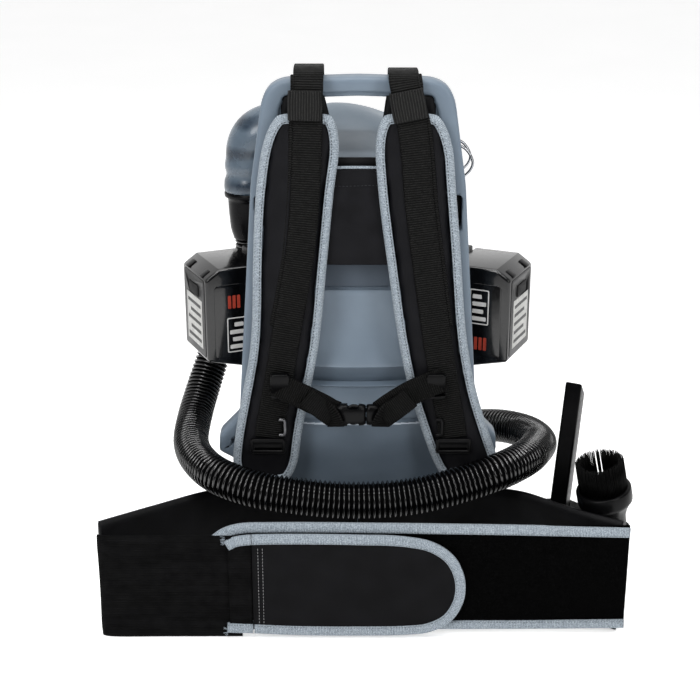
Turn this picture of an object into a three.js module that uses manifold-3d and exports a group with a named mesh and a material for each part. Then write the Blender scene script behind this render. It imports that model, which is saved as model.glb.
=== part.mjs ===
// Cordless backpack vacuum, standing on its base with the waist belt closed in front.
// Millimetres, +Z up, -Y towards the wearer, origin on the floor under the canister.
import * as THREE from 'three';
import { mergeVertices } from 'three/addons/utils/BufferGeometryUtils.js';
import Module from 'manifold-3d';

const wasm = await Module();
wasm.setup();

// ---------------------------------------------------------------- driving sizes

const GAP = 0.3;

const plate = { front: -100, rear: -76, top: 546, topHalf: 92, corner: 33, bow: 2 };
const handle = { bottom: 452, top: 527, bottomHalf: 80, topHalf: 72, corner: 24 };
// Hollows in the plate's front: half-width and height at the foot and at the top.
const upperHollow = { foot: [98, 226], top: [84, 436], deep: 9 };
const lowerHollow = { foot: [106, 40], top: [106, 206], deep: 4.5 };
// The plate's edge from its foot up: [half-width, height].
const plateEdge = [[126, 12], [126, 148], [144, 158], [143, 176], [122, 198], [117, 270], [104, 440]];

const can = {
  half: 88, front: plate.rear + GAP, rear: 95, corner: 60, wall: 3,
  bottom: 18, top: 428, deckBottom: 150, deckTop: 154,
};
const lid = { bottom: 430, skirtTop: 448, crest: 504, wall: 3 };
const base = { half: 96, front: -75, rear: 97, corner: 50, top: can.bottom - GAP };
const motor = { y: 10, radius: 54, bottom: 24, top: 140, cavityRadius: 50, cavityFloor: 108 };

const elbow = {
  x: -115.5, y: 60, z: 461, radius: 29, bore: 19, portRadius: 24, collar: 27,
  bellBottom: 395,
};
const cuff = { top: 394.7, bottom: 345.4, radius: 25, bore: 17 };
const hoseRadius = 19;
const endPiece = { length: 70, outer: 20, inner: 16 };

const latch = { y: 10, armSpan: 32, pivotX: 94, pivotZ: 424, hookZ: 464, wire: 1.3 };
const latchBulge = { left: 16, right: 25 };

const battery = {
  x: 141.3, y: -16.6, yaw: 24.5, out: 65, deep: 75, bottom: 233, tall: 109, chamfer: 15, slope: 10,
  channelWide: 34, channelDeep: 9, channelTop: 92,
};
// Release button of a battery: half its width, its foot and its height above the battery's foot.
const release = { half: 14, bottom: 75, tall: 12, gap: 0.4 };

const belt = { tall: 124, front: -200, cloth: 3, padding: 6 };
const flap = { seam: -105, end: 108, base: -130, bottom: 4, top: 119, thick: 3.2 };

const pad = { thick: 11, front: -118.5, top: 508, bottom: 128, share: { left: 1, right: 0.88 } };
const webbing = { wide: 29, thick: 2, top: 550, lockZ: 182 };

// Middle of each shoulder pad and of the webbing on it, as [x, z] from the handle down.
const padLines = {
  left: [[-50, 513], [-62, 430], [-67, 374], [-80, 270], [-91, 194], [-98, 128]],
  right: [[50, 513], [60, 430], [70, 374], [83, 270], [95, 194], [106, 128]],
};
const strapLines = {
  left: [[-47, 560], [-48, 505], [-51.5, 430], [-57, 374], [-71.5, 292], [-80.5, 239], [-91, 182],
    [-98, 120]],
  right: [[42, 560], [45, 530], [51, 500], [55, 470], [58.5, 430], [66, 374], [78, 292], [87, 239],
    [95, 182], [106, 120]],
};

// Chest strap: the buckle's middle and half height, and the sliders on the shoulder straps.
const sternum = { y: -129, z: 211, half: 12, slideX: 78, slideBottom: 229 };
const brush = {
  x: 250, y: -143, z: 132, leanX: 5, leanY: -12, collarRadius: 28, neckRadius: 17.5, neckLong: 78,
  wall: 3, crownFoot: 24, crownTop: 24.4, crownTall: 38,
};
const crevice = {
  x: 207, y: -108, bottom: 44, tall: 201, wide: 17, deep: 38, wall: 2, drop: 24, leanY: 4.5, turnZ: -15,
};
const holder = {
  bottom: 62, top: 98, snug: 0.6,
  around: [[190, -146], [228, -174], [276, -168], [278, -112], [222, -78], [196, -80]],
};

// Middle of the free hose, from the swivel cuff round the front to the floor behind.
const hoseRoute = [
  [-115.5, 60, 344.8], [-115.5, 60, 332], [-119, 63, 312], [-130, 64, 286], [-146, 60, 254],
  [-161, 46, 212], [-173, 20, 178], [-179, -12, 158], [-178, -55, 149], [-165, -98, 147],
  [-140, -138, 147], [-105, -158, 143], [-60, -165, 138], [-10, -166, 134], [50, -163, 136],
  [100, -153, 144], [140, -137, 151], [172, -102, 150], [190, -60, 143], [199, -22, 136],
  [190, 25, 128], [162, 64, 119], [116, 106, 98], [64, 130, 72], [14, 134, 48],
  [-32, 128, 28], [-70, 120.5, 20.2], [-86, 120, 20], [-100, 120, 20],
];

// ---------------------------------------------------------------- materials

const colour = (hex, roughness, metalness = 0) => ({ color: hex, roughness, metalness });
const looks = {
  plate: colour(0x55616e, 0.45),
  shell: colour(0x4c5966, 0.35),
  smoke: colour(0x5d6a78, 0.2),
  black: colour(0x141416, 0.4),
  gloss: colour(0x0b0b0d, 0.15),
  rubber: colour(0x18181a, 0.7),
  nylon: colour(0x17171a, 0.8),
  piping: colour(0x8793a0, 0.8),
  chrome: colour(0xc9ccd1, 0.15, 1),
  brass: colour(0xc29a4b, 0.3, 1),
  paper: colour(0xd9d6cc, 0.9),
  board: colour(0x2f5d3a, 0.6),
  label: colour(0x3c3d40, 0.5),
};

// ---------------------------------------------------------------- solid helpers

// Turns a closed geometry into a solid that can be joined and cut.
function solid(geometry) {
  const bare = geometry.clone();
  bare.deleteAttribute('normal');
  bare.deleteAttribute('uv');
  const merged = mergeVertices(bare, 1e-4);
  return new wasm.Manifold(new wasm.Mesh({
    numProp: 3,
    vertProperties: new Float32Array(merged.attributes.position.array),
    triVerts: new Uint32Array(merged.index.array),
  }));
}

function toGeometry(shape) {
  const { vertProperties, triVerts } = shape.getMesh();
  const geometry = new THREE.BufferGeometry();
  geometry.setAttribute('position', new THREE.BufferAttribute(vertProperties, 3));
  geometry.setIndex(new THREE.BufferAttribute(triVerts, 1));
  geometry.computeVertexNormals();
  return geometry;
}

const join = (first, ...rest) => rest.reduce((sum, next) => sum.add(next), first);
const cut = (first, ...rest) => rest.reduce((left, next) => left.subtract(next), first);

const group = new THREE.Group();

// Adds one sub-part; shape is a geometry or a solid.
function add(name, shape, look, parent = group) {
  const geometry = shape.isBufferGeometry ? shape : toGeometry(shape);
  const mesh = new THREE.Mesh(geometry, new THREE.MeshStandardMaterial(look));
  mesh.name = name;
  parent.add(mesh);
  return mesh;
}

function outline(points) {
  return new THREE.Shape(points.map(([a, b]) => new THREE.Vector2(a, b)));
}

// A rectangle with round corners, from its two opposite corners.
function roundRect(a0, b0, a1, b1, radius) {
  const r = Math.min(radius, (a1 - a0) / 2 - 0.01, (b1 - b0) / 2 - 0.01);
  const shape = new THREE.Shape();
  shape.absarc(a1 - r, b1 - r, r, 0, Math.PI / 2);
  shape.absarc(a0 + r, b1 - r, r, Math.PI / 2, Math.PI);
  shape.absarc(a0 + r, b0 + r, r, Math.PI, 1.5 * Math.PI);
  shape.absarc(a1 - r, b0 + r, r, 1.5 * Math.PI, 2 * Math.PI);
  return shape;
}

// Extrudes an outline between two places on an axis. The outline's own two axes are
// x, y for 'z'; x, z for 'y'; and y, z for 'x'.
function prism(shape, from, to, axis = 'z', curveSegments = 5) {
  const geometry = new THREE.ExtrudeGeometry(shape, {
    depth: to - from, bevelEnabled: false, curveSegments,
  });
  if (axis === 'y') {
    geometry.rotateX(Math.PI / 2);
    geometry.translate(0, to, 0);
  } else if (axis === 'x') {
    const turn = new THREE.Matrix4().makeBasis(
      new THREE.Vector3(0, 1, 0), new THREE.Vector3(0, 0, 1), new THREE.Vector3(1, 0, 0));
    geometry.applyMatrix4(turn);
    geometry.translate(from, 0, 0);
  } else {
    geometry.translate(0, 0, from);
  }
  return geometry;
}

function box(x0, x1, y0, y1, z0, z1) {
  const geometry = new THREE.BoxGeometry(x1 - x0, y1 - y0, z1 - z0);
  geometry.translate((x0 + x1) / 2, (y0 + y1) / 2, (z0 + z1) / 2);
  return geometry;
}

// A lathe about Z from [radius, z] points that start and end on the axis.
function turned(points, segments = 32) {
  const geometry = new THREE.LatheGeometry(
    points.map(([r, z]) => new THREE.Vector2(r, z)), segments);
  geometry.rotateX(Math.PI / 2);
  return geometry;
}

function cylinder(radius, from, to, axis = 'z', segments = 28) {
  return prism(new THREE.Shape().absarc(0, 0, radius, 0, 2 * Math.PI), from, to, axis, segments / 2);
}

// A round section swept along a smooth line through points.
function swept(points, radius, sides, steps) {
  const path = new THREE.CatmullRomCurve3(
    points.map((p) => new THREE.Vector3(...p)), false, 'centripetal');
  const section = outline(Array.from({ length: sides }, (_, k) => {
    const turn = (2 * Math.PI * k) / sides;
    return [radius * Math.cos(turn), radius * Math.sin(turn)];
  }));
  return new THREE.ExtrudeGeometry(section, { steps, extrudePath: path, bevelEnabled: false });
}

const mirrorX = (points) => points.map(([a, b]) => [-a, b]).reverse();

// ---------------------------------------------------------------- back plate

function plateOutline() {
  const { top, topHalf, corner, bow } = plate;
  const crown = topHalf - corner;
  const shape = new THREE.Shape();
  shape.moveTo(-plateEdge[0][0], plateEdge[0][1]);
  plateEdge.forEach(([halfWidth, z]) => shape.lineTo(halfWidth, z));
  shape.lineTo(topHalf + 1, top - corner);
  shape.quadraticCurveTo(topHalf - 1, top - bow, crown, top - bow);
  shape.quadraticCurveTo(0, top + bow, -crown, top - bow);
  shape.quadraticCurveTo(-topHalf + 1, top - bow, -topHalf - 1, top - corner);
  [...plateEdge].reverse().forEach(([halfWidth, z]) => shape.lineTo(-halfWidth, z));
  return shape;
}

function handleOpening() {
  const { bottom, top, bottomHalf, topHalf, corner } = handle;
  const shape = new THREE.Shape();
  shape.moveTo(-bottomHalf, bottom);
  shape.lineTo(bottomHalf, bottom);
  shape.lineTo(topHalf, top - corner);
  shape.quadraticCurveTo(topHalf - 3, top, topHalf - corner, top);
  shape.lineTo(-topHalf + corner, top);
  shape.quadraticCurveTo(-topHalf + 3, top, -topHalf, top - corner);
  return shape;
}

// The block that a hollow takes out of the plate's front face.
function hollowCutter({ foot, top, deep }) {
  const shape = outline([[-foot[0], foot[1]], foot, top, [-top[0], top[1]]]);
  return solid(prism(shape, plate.front - 5, plate.front + deep, 'y'));
}

function addBackplate() {
  const body = solid(prism(plateOutline(), plate.front, plate.rear, 'y', 6));
  const opening = solid(prism(handleOpening(), plate.front - 5, plate.rear + 5, 'y', 6));
  const hollows = [upperHollow, lowerHollow].map(hollowCutter);
  add('backplate', cut(body, opening, ...hollows), looks.plate);
}

// ---------------------------------------------------------------- canister

const canOutline = (inset) => roundRect(
  -can.half + inset, can.front + inset, can.half - inset, can.rear - inset, can.corner - inset);

function addCanister() {
  const outside = solid(prism(canOutline(0), can.bottom, can.top, 'z', 7));
  const bagRoom = solid(prism(canOutline(can.wall), can.deckTop, can.top + 5, 'z', 7));
  const motorRoom = solid(prism(canOutline(can.wall), can.bottom - 5, can.deckBottom, 'z', 7));
  const intake = solid(cylinder(36, can.deckBottom - 5, can.deckTop + 5).translate(0, motor.y, 0));
  const vents = [];
  for (let x = -42; x <= 42; x += 14) {
    vents.push(solid(box(x - 3.5, x + 3.5, can.rear - 10, can.rear + 10, 46, 116)));
  }
  add('canister_body', cut(outside, bagRoom, motorRoom, intake, ...vents), looks.shell);
}

function addBase() {
  const { half, front, rear, corner, top } = base;
  const tray = solid(prism(roundRect(-half, front, half, rear, corner), 0, top, 'z', 6));
  const pocket = solid(prism(roundRect(-70, -55, 70, 80, 30), 6, top + 5, 'z', 4));
  add('canister_base', cut(tray, pocket), looks.black);
}

// A stack of shrinking outlines, skinned into one closed dome between two heights.
function domeGeometry(inset, from, to) {
  const rings = 7;
  const around = 40;
  const positions = [];
  const index = [];
  const halfX = can.half - inset;
  const halfY = (can.rear - can.front) / 2 - inset;
  const middleY = (can.rear + can.front) / 2;
  const rim = canOutline(inset).getSpacedPoints(around).slice(0, around);
  const level = (t) => {
    const rise = Math.sin((t * Math.PI) / 2);
    const spread = Math.cos((t * Math.PI) / 2) ** 0.7;
    return { z: from + (to - from) * rise, spread };
  };
  positions.push(0, middleY, from - 12);
  rim.forEach((p) => positions.push(p.x, p.y, from - 12));
  for (let k = 0; k < rings; k += 1) {
    const { z, spread } = level(k / rings);
    rim.forEach((p) => {
      const oval = new THREE.Vector2(p.x / halfX, (p.y - middleY) / halfY);
      const x = oval.x * halfX * spread;
      const y = middleY + oval.y * halfY * spread;
      positions.push(x, y, z);
    });
  }
  positions.push(0, middleY, to);
  const ring = (k, j) => 1 + k * around + (j % around);
  for (let j = 0; j < around; j += 1) {
    index.push(0, ring(0, j + 1), ring(0, j));
    for (let k = 0; k < rings; k += 1) {
      index.push(ring(k, j), ring(k, j + 1), ring(k + 1, j + 1));
      index.push(ring(k, j), ring(k + 1, j + 1), ring(k + 1, j));
    }
    index.push(ring(rings, j), ring(rings, j + 1), 1 + (rings + 1) * around);
  }
  const geometry = new THREE.BufferGeometry();
  geometry.setAttribute('position', new THREE.Float32BufferAttribute(positions, 3));
  geometry.setIndex(index);
  return geometry;
}

function addLid() {
  const under = solid(box(-200, 200, -200, 200, lid.bottom - 60, lid.bottom));
  const outer = solid(domeGeometry(0, lid.skirtTop, lid.crest));
  const inner = solid(domeGeometry(lid.wall, lid.skirtTop, lid.crest - lid.wall));
  const skirt = solid(prism(canOutline(0), lid.bottom, lid.skirtTop, 'z', 7));
  const skirtRoom = solid(prism(canOutline(lid.wall), lid.bottom - 5, lid.skirtTop + 1, 'z', 7));
  const portEnd = elbow.x + elbow.radius + 2;
  const port = solid(cylinder(elbow.portRadius, portEnd, -40, 'x').translate(0, elbow.y, elbow.z));
  const bore = solid(cylinder(elbow.bore, portEnd - 5, -30, 'x').translate(0, elbow.y, elbow.z));
  const collarRoom = solid(cylinder(elbow.collar + 2 * GAP, -200, portEnd, 'x')
    .translate(0, elbow.y, elbow.z));
  const shell = cut(join(cut(join(skirt, outer), collarRoom), port), inner, skirtRoom, bore, under);
  add('lid_dome', shell, looks.plate);
}

function addGasket() {
  const outside = solid(prism(canOutline(1), can.top + GAP, lid.bottom - GAP, 'z', 7));
  const inside = solid(prism(canOutline(6), can.top - 5, lid.bottom + 5, 'z', 7));
  add('lid_gasket', cut(outside, inside), looks.rubber);
}

// ---------------------------------------------------------------- inside the canister

function addFilters() {
  const bag = prism(roundRect(-72, -58, 72, 74, 30), 186, 404, 'z', 4);
  add('filter_bag', bag, looks.paper);
  const collar = cut(solid(cylinder(48, 406, 412).translate(0, 8, 0)),
    solid(cylinder(22, 400, 420).translate(0, 8, 0)));
  add('filter_bag_collar', collar, looks.black);
  const disc = cylinder(58, can.deckTop + GAP, can.deckTop + 22).translate(0, motor.y, 0);
  add('motor_filter', disc, looks.paper);
}

function addMotor() {
  const { radius, bottom, top, cavityRadius, cavityFloor } = motor;
  const housing = turned([
    [0, bottom], [radius - 14, bottom], [radius - 8, 60], [radius, 74], [radius, top],
    [cavityRadius, top], [cavityRadius, cavityFloor], [0, cavityFloor],
  ]).translate(0, motor.y, 0);
  const windows = [0, 45, 90, 135].map((angle) => {
    const slot = box(-80, 80, -5, 5, cavityFloor + 6, top - 8);
    return solid(slot.rotateZ((angle * Math.PI) / 180).translate(0, motor.y, 0));
  });
  add('motor_housing', cut(solid(housing), ...windows), looks.black);
  const seal = cut(solid(cylinder(radius, top + GAP, can.deckBottom - GAP)),
    solid(cylinder(42, top - 5, can.deckBottom + 5))).translate([0, motor.y, 0]);
  add('motor_seal', seal, looks.rubber);
}

function addImpeller() {
  const floor = motor.cavityFloor + 2;
  const disc = solid(cylinder(46, floor, floor + 3));
  const hub = solid(turned([[0, floor + 1], [14, floor + 1], [8, floor + 22], [0, floor + 24]], 16));
  const blades = Array.from({ length: 8 }, (_, k) => {
    const blade = box(10, 45, -1, 1, floor + 2, floor + 17).rotateZ(0.3);
    return solid(blade.rotateZ((2 * Math.PI * k) / 8));
  });
  const wheel = join(disc, hub, ...blades).translate([0, motor.y, 0]);
  add('fan_impeller', wheel, looks.label);
}

function addElectronics() {
  add('controller_board', box(-40, 40, -68, -58, 44, 104), looks.board);
  const grille = solid(prism(roundRect(-56, 36, 56, 126, 8), can.rear + GAP, can.rear + 4, 'y'));
  const louvres = [];
  for (let z = 46; z < 118; z += 12) {
    louvres.push(solid(box(-48, 48, can.rear - 5, can.rear + 9, z, z + 6)));
  }
  add('exhaust_grille', cut(grille, ...louvres), looks.black);
}

function addSwitch() {
  const x = can.half + GAP;
  const housing = solid(prism(roundRect(-12, 180, 32, 212, 4), x, x + 10, 'x'));
  const well = solid(box(x + 3, x + 20, -4, 24, 186, 206));
  add('switch_housing', cut(housing, well), looks.black);
  const rocker = outline([
    [187.8, x + 5], [204.2, x + 5], [204.2, x + 10], [196, x + 8.5], [187.8, x + 12],
  ]);
  const geometry = prism(rocker, -3.4, 23.4);
  const turn = new THREE.Matrix4().makeBasis(
    new THREE.Vector3(0, 0, 1), new THREE.Vector3(1, 0, 0), new THREE.Vector3(0, 1, 0));
  add('switch_rocker', geometry.applyMatrix4(turn), looks.rubber);
}

// ---------------------------------------------------------------- elbow, cuff and hose

function addElbow() {
  const { x, y, z, radius, bore, bellBottom } = elbow;
  const portFace = x + radius + 1.6;
  const bell = solid(turned([
    [0, bellBottom], [radius, bellBottom], [radius, z - 8], [radius - 1, z + 6],
    [radius - 6, z + 19], [radius - 15, z + 28], [0, z + 31],
  ]).translate(x, y, 0));
  const stub = solid(cylinder(elbow.collar, x, portFace, 'x').translate(0, y, z));
  const throat = solid(turned([
    [0, bellBottom - 5], [bore + 2, bellBottom - 5], [bore, z], [bore - 6, z + 14], [0, z + 19],
  ]).translate(x, y, 0));
  const mouth = solid(cylinder(bore, x, portFace + 5, 'x').translate(0, y, z));
  add('elbow', cut(join(bell, stub), throat, mouth), looks.smoke);
}

function addHose() {
  const { x, y } = elbow;
  const sleeve = solid(turned([
    [0, cuff.bottom], [21, cuff.bottom], [cuff.radius, cuff.bottom + 12], [cuff.radius, cuff.top - 8],
    [elbow.radius, cuff.top - 6], [elbow.radius, cuff.top], [0, cuff.top],
  ]).translate(x, y, 0));
  const bore = solid(cylinder(cuff.bore, cuff.bottom - 5, cuff.top + 5).translate(x, y, 0));
  add('hose_cuff', cut(sleeve, bore), looks.black);
  add('hose', swept(hoseRoute, hoseRadius, 10, 56), looks.gloss);
  const [endX, endY, endZ] = hoseRoute.at(-1);
  const { length, outer, inner } = endPiece;
  const tube = cut(solid(cylinder(outer, endX - GAP - length, endX - GAP, 'x')),
    solid(cylinder(inner, endX - length - 5, endX + 5, 'x')));
  add('hose_end_cuff', tube.translate([0, endY, endZ]), looks.black);
}

// ---------------------------------------------------------------- lid latches

function addLatch(side, name) {
  const { y, armSpan, pivotX, pivotZ, hookZ, wire } = latch;
  const bulge = latchBulge[name];
  const near = y - armSpan / 2;
  const far = y + armSpan / 2;
  const arm = (at) => [
    [pivotX, at, pivotZ], [pivotX + bulge * 0.7, at, pivotZ + 7], [pivotX + bulge, at, pivotZ + 20],
    [pivotX + bulge * 0.7, at, hookZ - 5],
  ];
  const inward = (at, way) => [pivotX, at + way * 4, pivotZ];
  const route = [
    inward(near, 1), ...arm(near), [pivotX, near + 2, hookZ], [pivotX - 1, y, hookZ + 1],
    [pivotX, far - 2, hookZ], ...arm(far).reverse(), inward(far, -1),
  ];
  const bail = swept(route.map(([a, b, c]) => [side * a, b, c]), wire, 6, 44);
  add(`latch_bail_${name}`, bail, looks.chrome);
  const block = (inner, outer, y0, y1, z0, z1) => box(
    Math.min(side * inner, side * outer), Math.max(side * inner, side * outer), y0, y1, z0, z1);
  const bracket = block(can.half + GAP, pivotX + 4, near + 6, far - 6, pivotZ - 12, pivotZ + 3);
  add(`latch_bracket_${name}`, bracket, looks.black);
  const lug = block(can.half - 20, pivotX + 3, y - 9, y + 9, hookZ - 14, hookZ - 1.8);
  const lidRoom = solid(domeGeometry(-2 * GAP, lid.skirtTop, lid.crest + 2 * GAP));
  add(`latch_lug_${name}`, cut(solid(lug), lidRoom), looks.black);
}

// ---------------------------------------------------------------- batteries

// Built for the right side in the battery's own frame: +X outwards, +Y to the rear.
function batteryParts() {
  const { out, deep, tall, chamfer, slope, channelWide, channelDeep, channelTop } = battery;
  const half = out / 2;
  const side = outline([
    [-half, 0], [-half / 4, 0], [half, slope], [half, tall - slope], [half - chamfer, tall],
    [-half, tall],
  ]);
  const plan = roundRect(-half - 5, -deep / 2, half, deep / 2, 7);
  const slab = solid(prism(side, -deep / 2, deep / 2, 'y'));
  const body = slab.intersect(solid(prism(plan, -5, tall + 5, 'z', 2)));
  const channel = solid(
    box(-half - 5, -half + channelDeep, -channelWide / 2, channelWide / 2, -5, channelTop));
  const { half: buttonHalf, bottom: buttonFoot, tall: buttonTall, gap } = release;
  const buttonTop = buttonFoot + buttonTall;
  const buttonWell = solid(
    box(half - 9, half + 5, -buttonHalf - gap, buttonHalf + gap, buttonFoot - gap, buttonTop + gap));
  const panel = roundRect(-22, 14, 22, 90, 5);
  const frontPanel = solid(prism(panel, -deep / 2 - 5, -deep / 2 + 1, 'y', 2));
  const button = box(half - 5.4, half + 1.5, -buttonHalf, buttonHalf, buttonFoot, buttonTop);
  const tongue = box(-half - 2, -half + channelDeep - 0.6, -channelWide / 2 + 0.6,
    channelWide / 2 - 0.6, 6, channelTop - 2.5);
  const blades = box(-half + 1, -half + 6, -9, 9, channelTop - 2.2, channelTop - 0.6);
  return { body: cut(body, channel, buttonWell, frontPanel), button, tongue, blades };
}

function addBattery(side, name) {
  const { x, y, yaw, out, deep, bottom, tall } = battery;
  const parts = batteryParts();
  const place = new THREE.Matrix4().makeRotationZ((-yaw * Math.PI) / 180);
  place.setPosition(x, y, bottom);
  const put = (geometry) => {
    const moved = geometry.clone().applyMatrix4(place);
    const whole = solid(moved);
    return side > 0 ? whole : whole.mirror([1, 0, 0]);
  };
  const dockBlock = outline([
    [-out / 2 - 0.6, -deep / 2 + 2], [-out / 2 - 0.6, deep / 2 - 4], [-80, deep / 2 - 4],
    [-80, -deep / 2 + 2],
  ]);
  const canSolid = solid(prism(canOutline(-GAP), can.bottom, can.top, 'z', 7));
  const plateSolid = solid(box(-200, 200, plate.front, plate.rear + GAP, 0, 500));
  const block = put(prism(dockBlock, -8, tall + 2));
  const tongue = put(parts.tongue);
  add(`battery_dock_${name}`, cut(join(block, tongue), canSolid, plateSolid), looks.black);
  add(`battery_${name}`, put(toGeometry(parts.body)), looks.gloss);
  add(`battery_button_${name}`, put(parts.button), looks.rubber);
  add(`battery_terminals_${name}`, put(parts.blades), looks.brass);
}

// ---------------------------------------------------------------- harness

// The strap's middle at a height, between the points of its line.
function strapMiddle(line, z) {
  for (let k = 1; k < line.length; k += 1) {
    const [x0, z0] = line[k - 1];
    const [x1, z1] = line[k];
    if (z >= z1) {
      return x0 + ((x1 - x0) * (z0 - z)) / (z0 - z1);
    }
  }
  return line.at(-1)[0];
}

// Shifts a straight upright solid sideways so that it follows a strap's line.
function followStrap(geometry, line) {
  const position = geometry.attributes.position;
  for (let k = 0; k < position.count; k += 1) {
    position.setX(k, position.getX(k) + strapMiddle(line, position.getZ(k)));
  }
  return geometry;
}

function padHalfWidth(z) {
  const fromTop = Math.min(1, Math.max(0, (pad.top - z) / 45));
  const fromBottom = Math.min(1, Math.max(0, (z - pad.bottom) / 60));
  const body = 34 + 6 * Math.min(1, Math.max(0, (z - 160) / 200));
  return body * (0.5 + 0.5 * Math.sqrt(fromTop)) * (0.55 + 0.45 * Math.sqrt(fromBottom));
}

function addShoulderPad(name) {
  const line = padLines[name];
  const levels = Array.from({ length: 25 }, (_, k) => pad.bottom + ((pad.top - pad.bottom) * k) / 24);
  const rightEdge = levels.map((z) => [pad.share[name] * padHalfWidth(z), z]);
  const padShape = outline([...rightEdge, ...mirrorX(rightEdge)]);
  const padBody = prism(padShape, pad.front, pad.front + pad.thick, 'y');
  add(`shoulder_pad_${name}`, followStrap(padBody, line), looks.nylon);
}

function addStrap(name) {
  const line = strapLines[name];
  const { wide, thick, top, lockZ } = webbing;
  const y = pad.front - GAP;
  const straight = 533.5 - lockZ;
  const rise = Array.from({ length: 17 }, (_, k) => lockZ + (straight * k) / 16);
  // Over the handle bar, seen from the side, as [y, z]: the strap's outer face and its inner face.
  const over = [
    [-116, top - 7], [-108, top - 1.5], [-88, top], [-70, top - 3.5], [-66, top - 11], [-68, 500],
  ];
  const under = [
    [-113.4, top - 9], [-107, top - 3.6], [-88, top - 2], [-72.4, top - 5], [-68.2, top - 11.4],
    [-70, 500],
  ];
  const outerSide = [...rise.map((z) => [y - thick, z]), ...over];
  const innerSide = [...rise.map((z) => [y, z]), ...under];
  const strip = prism(outline([...outerSide, ...innerSide.reverse()]), -wide / 2, wide / 2, 'x');
  add(`shoulder_webbing_${name}`, followStrap(strip, line), looks.nylon);

  const keeperOuter = box(-20, 20, y - thick - 2.6, y + 3, pad.top + GAP, 532.5);
  const keeperHole = box(-18, 18, y - thick - 0.5, y + 0.5, 490, 540);
  const keeper = toGeometry(cut(solid(keeperOuter), solid(keeperHole)));
  add(`strap_keeper_${name}`, followStrap(keeper, line), looks.rubber);

  const lock = box(-18, 18, y - thick - 4, y, lockZ - 16, lockZ - GAP);
  add(`ladder_lock_${name}`, followStrap(lock, line), looks.black);

  const tail = box(-12.5, 12.5, -105.5, -103.5, 54, pad.bottom + 20);
  add(`lower_webbing_${name}`, followStrap(tail, line), looks.nylon);
}

function addBackPad() {
  const cloth = outline([[-62, 360], [62, 360], [64, 412], [60, 461], [-60, 461], [-64, 412]]);
  add('back_pad', prism(cloth, -107, plate.front - GAP, 'y'), looks.nylon);
}

function addSternum() {
  const { y, z, half, slideX, slideBottom } = sternum;
  const cloth = 2;
  const band = (points) => prism(outline(points), y, y + cloth, 'y');
  add('sternum_strap_left', band([
    [-74, z + 17], [-22, z - half + 2], [-22, z + half - 2], [-70, z + 37],
  ]), looks.nylon);
  add('sternum_strap_right', band([
    [22.6, z - half + 2], [72, z + 17], [68, z + 37], [22.6, z + half - 2],
  ]), looks.nylon);
  const sliderBack = pad.front - webbing.thick - GAP * 2;
  for (const [side, name] of [[-1, 'left'], [1, 'right']]) {
    const x = side * slideX;
    const plateBody = box(x - 9, x + 9, y - 0.6, sliderBack, slideBottom, slideBottom + 24);
    const slot = box(x - 18, x + 18, y - GAP, y + cloth + GAP, slideBottom - 28, slideBottom + 21);
    add(`sternum_slider_${name}`, cut(solid(plateBody), solid(slot)), looks.black);
  }
  const front = y - 5;
  const rear = y + 7;
  const female = cut(
    solid(prism(roundRect(-21.6, z - half, 8, z + half, 5), front, rear, 'y')),
    solid(box(-12, 12, y - 2.4, y + 4.4, z - 8, z + 8)));
  add('buckle_socket', female, looks.black);
  const tongueFront = y - 1.8;
  const tongueRear = y + 3.8;
  const male = join(
    solid(prism(roundRect(8.4, z - half, 22.2, z + half, 4), front, rear, 'y')),
    solid(box(-10, 12, tongueFront, tongueRear, z - 7, z - 2)),
    solid(box(-10, 12, tongueFront, tongueRear, z + 2, z + 7)),
    solid(box(-11, -6, tongueFront, tongueRear, z - 7, z + 7)));
  add('buckle_tongue', male, looks.black);
}

// ---------------------------------------------------------------- waist belt

// A standing strip of cloth along a line of [x, y] points, thick to its left.
function strip(points, thick, bottom, top) {
  const forward = points.map(([x, y]) => new THREE.Vector2(x, y));
  const offset = forward.map((p, k) => {
    const before = forward[Math.max(0, k - 1)];
    const after = forward[Math.min(forward.length - 1, k + 1)];
    const way = after.clone().sub(before).normalize();
    return new THREE.Vector2(p.x - way.y * thick, p.y + way.x * thick);
  });
  return prism(new THREE.Shape([...forward, ...offset.reverse()]), bottom, top);
}

// The padded back of the belt, in two halves that meet in the middle, from its outer ends inwards.
const rightWing = [[262, -192], [225, -168], [193, -142], [168, -123], [127, -112.5], [GAP, -112.5]];
const leftWing = [[-GAP, -112.5], [-127, -112.5], [-157, -123], [-200, -152], [-254, -192]];

function addBelt() {
  const { tall, front, cloth, padding } = belt;
  add('belt_wing_right', strip([...rightWing].reverse(), padding, 0, tall - 2), looks.nylon);
  add('belt_wing_left', strip([...leftWing].reverse(), padding, 0, tall - 2), looks.nylon);
  add('belt_elastic', box(-258, -128, front - cloth, front, 0, tall - 11), looks.rubber);
  const panel = box(-145, 268, front + GAP, front + cloth + GAP, 8, tall - 1);
  add('belt_loop_panel', panel, looks.rubber);
  const frontFace = front - cloth - GAP;
  add('belt_flap_base', box(flap.base, flap.seam - GAP, frontFace - flap.thick, frontFace, flap.bottom,
    flap.top), looks.piping);
  const shape = new THREE.Shape();
  shape.moveTo(flap.seam, flap.bottom);
  shape.lineTo(flap.end - 48, flap.bottom);
  shape.bezierCurveTo(flap.end - 10, flap.bottom, flap.end, 30, flap.end, 62);
  shape.bezierCurveTo(flap.end, 95, flap.end - 10, flap.top, flap.end - 48, flap.top);
  shape.lineTo(flap.seam, flap.top);
  add('belt_flap', prism(shape, frontFace - flap.thick, frontFace, 'y', 8), looks.nylon);
}

// ---------------------------------------------------------------- tools on the belt

const degrees = (angle) => (angle * Math.PI) / 180;

function brushPlace(geometry) {
  geometry.rotateX(degrees(brush.leanX));
  geometry.rotateY(degrees(brush.leanY));
  return geometry.translate(brush.x, brush.y, brush.z);
}

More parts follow.
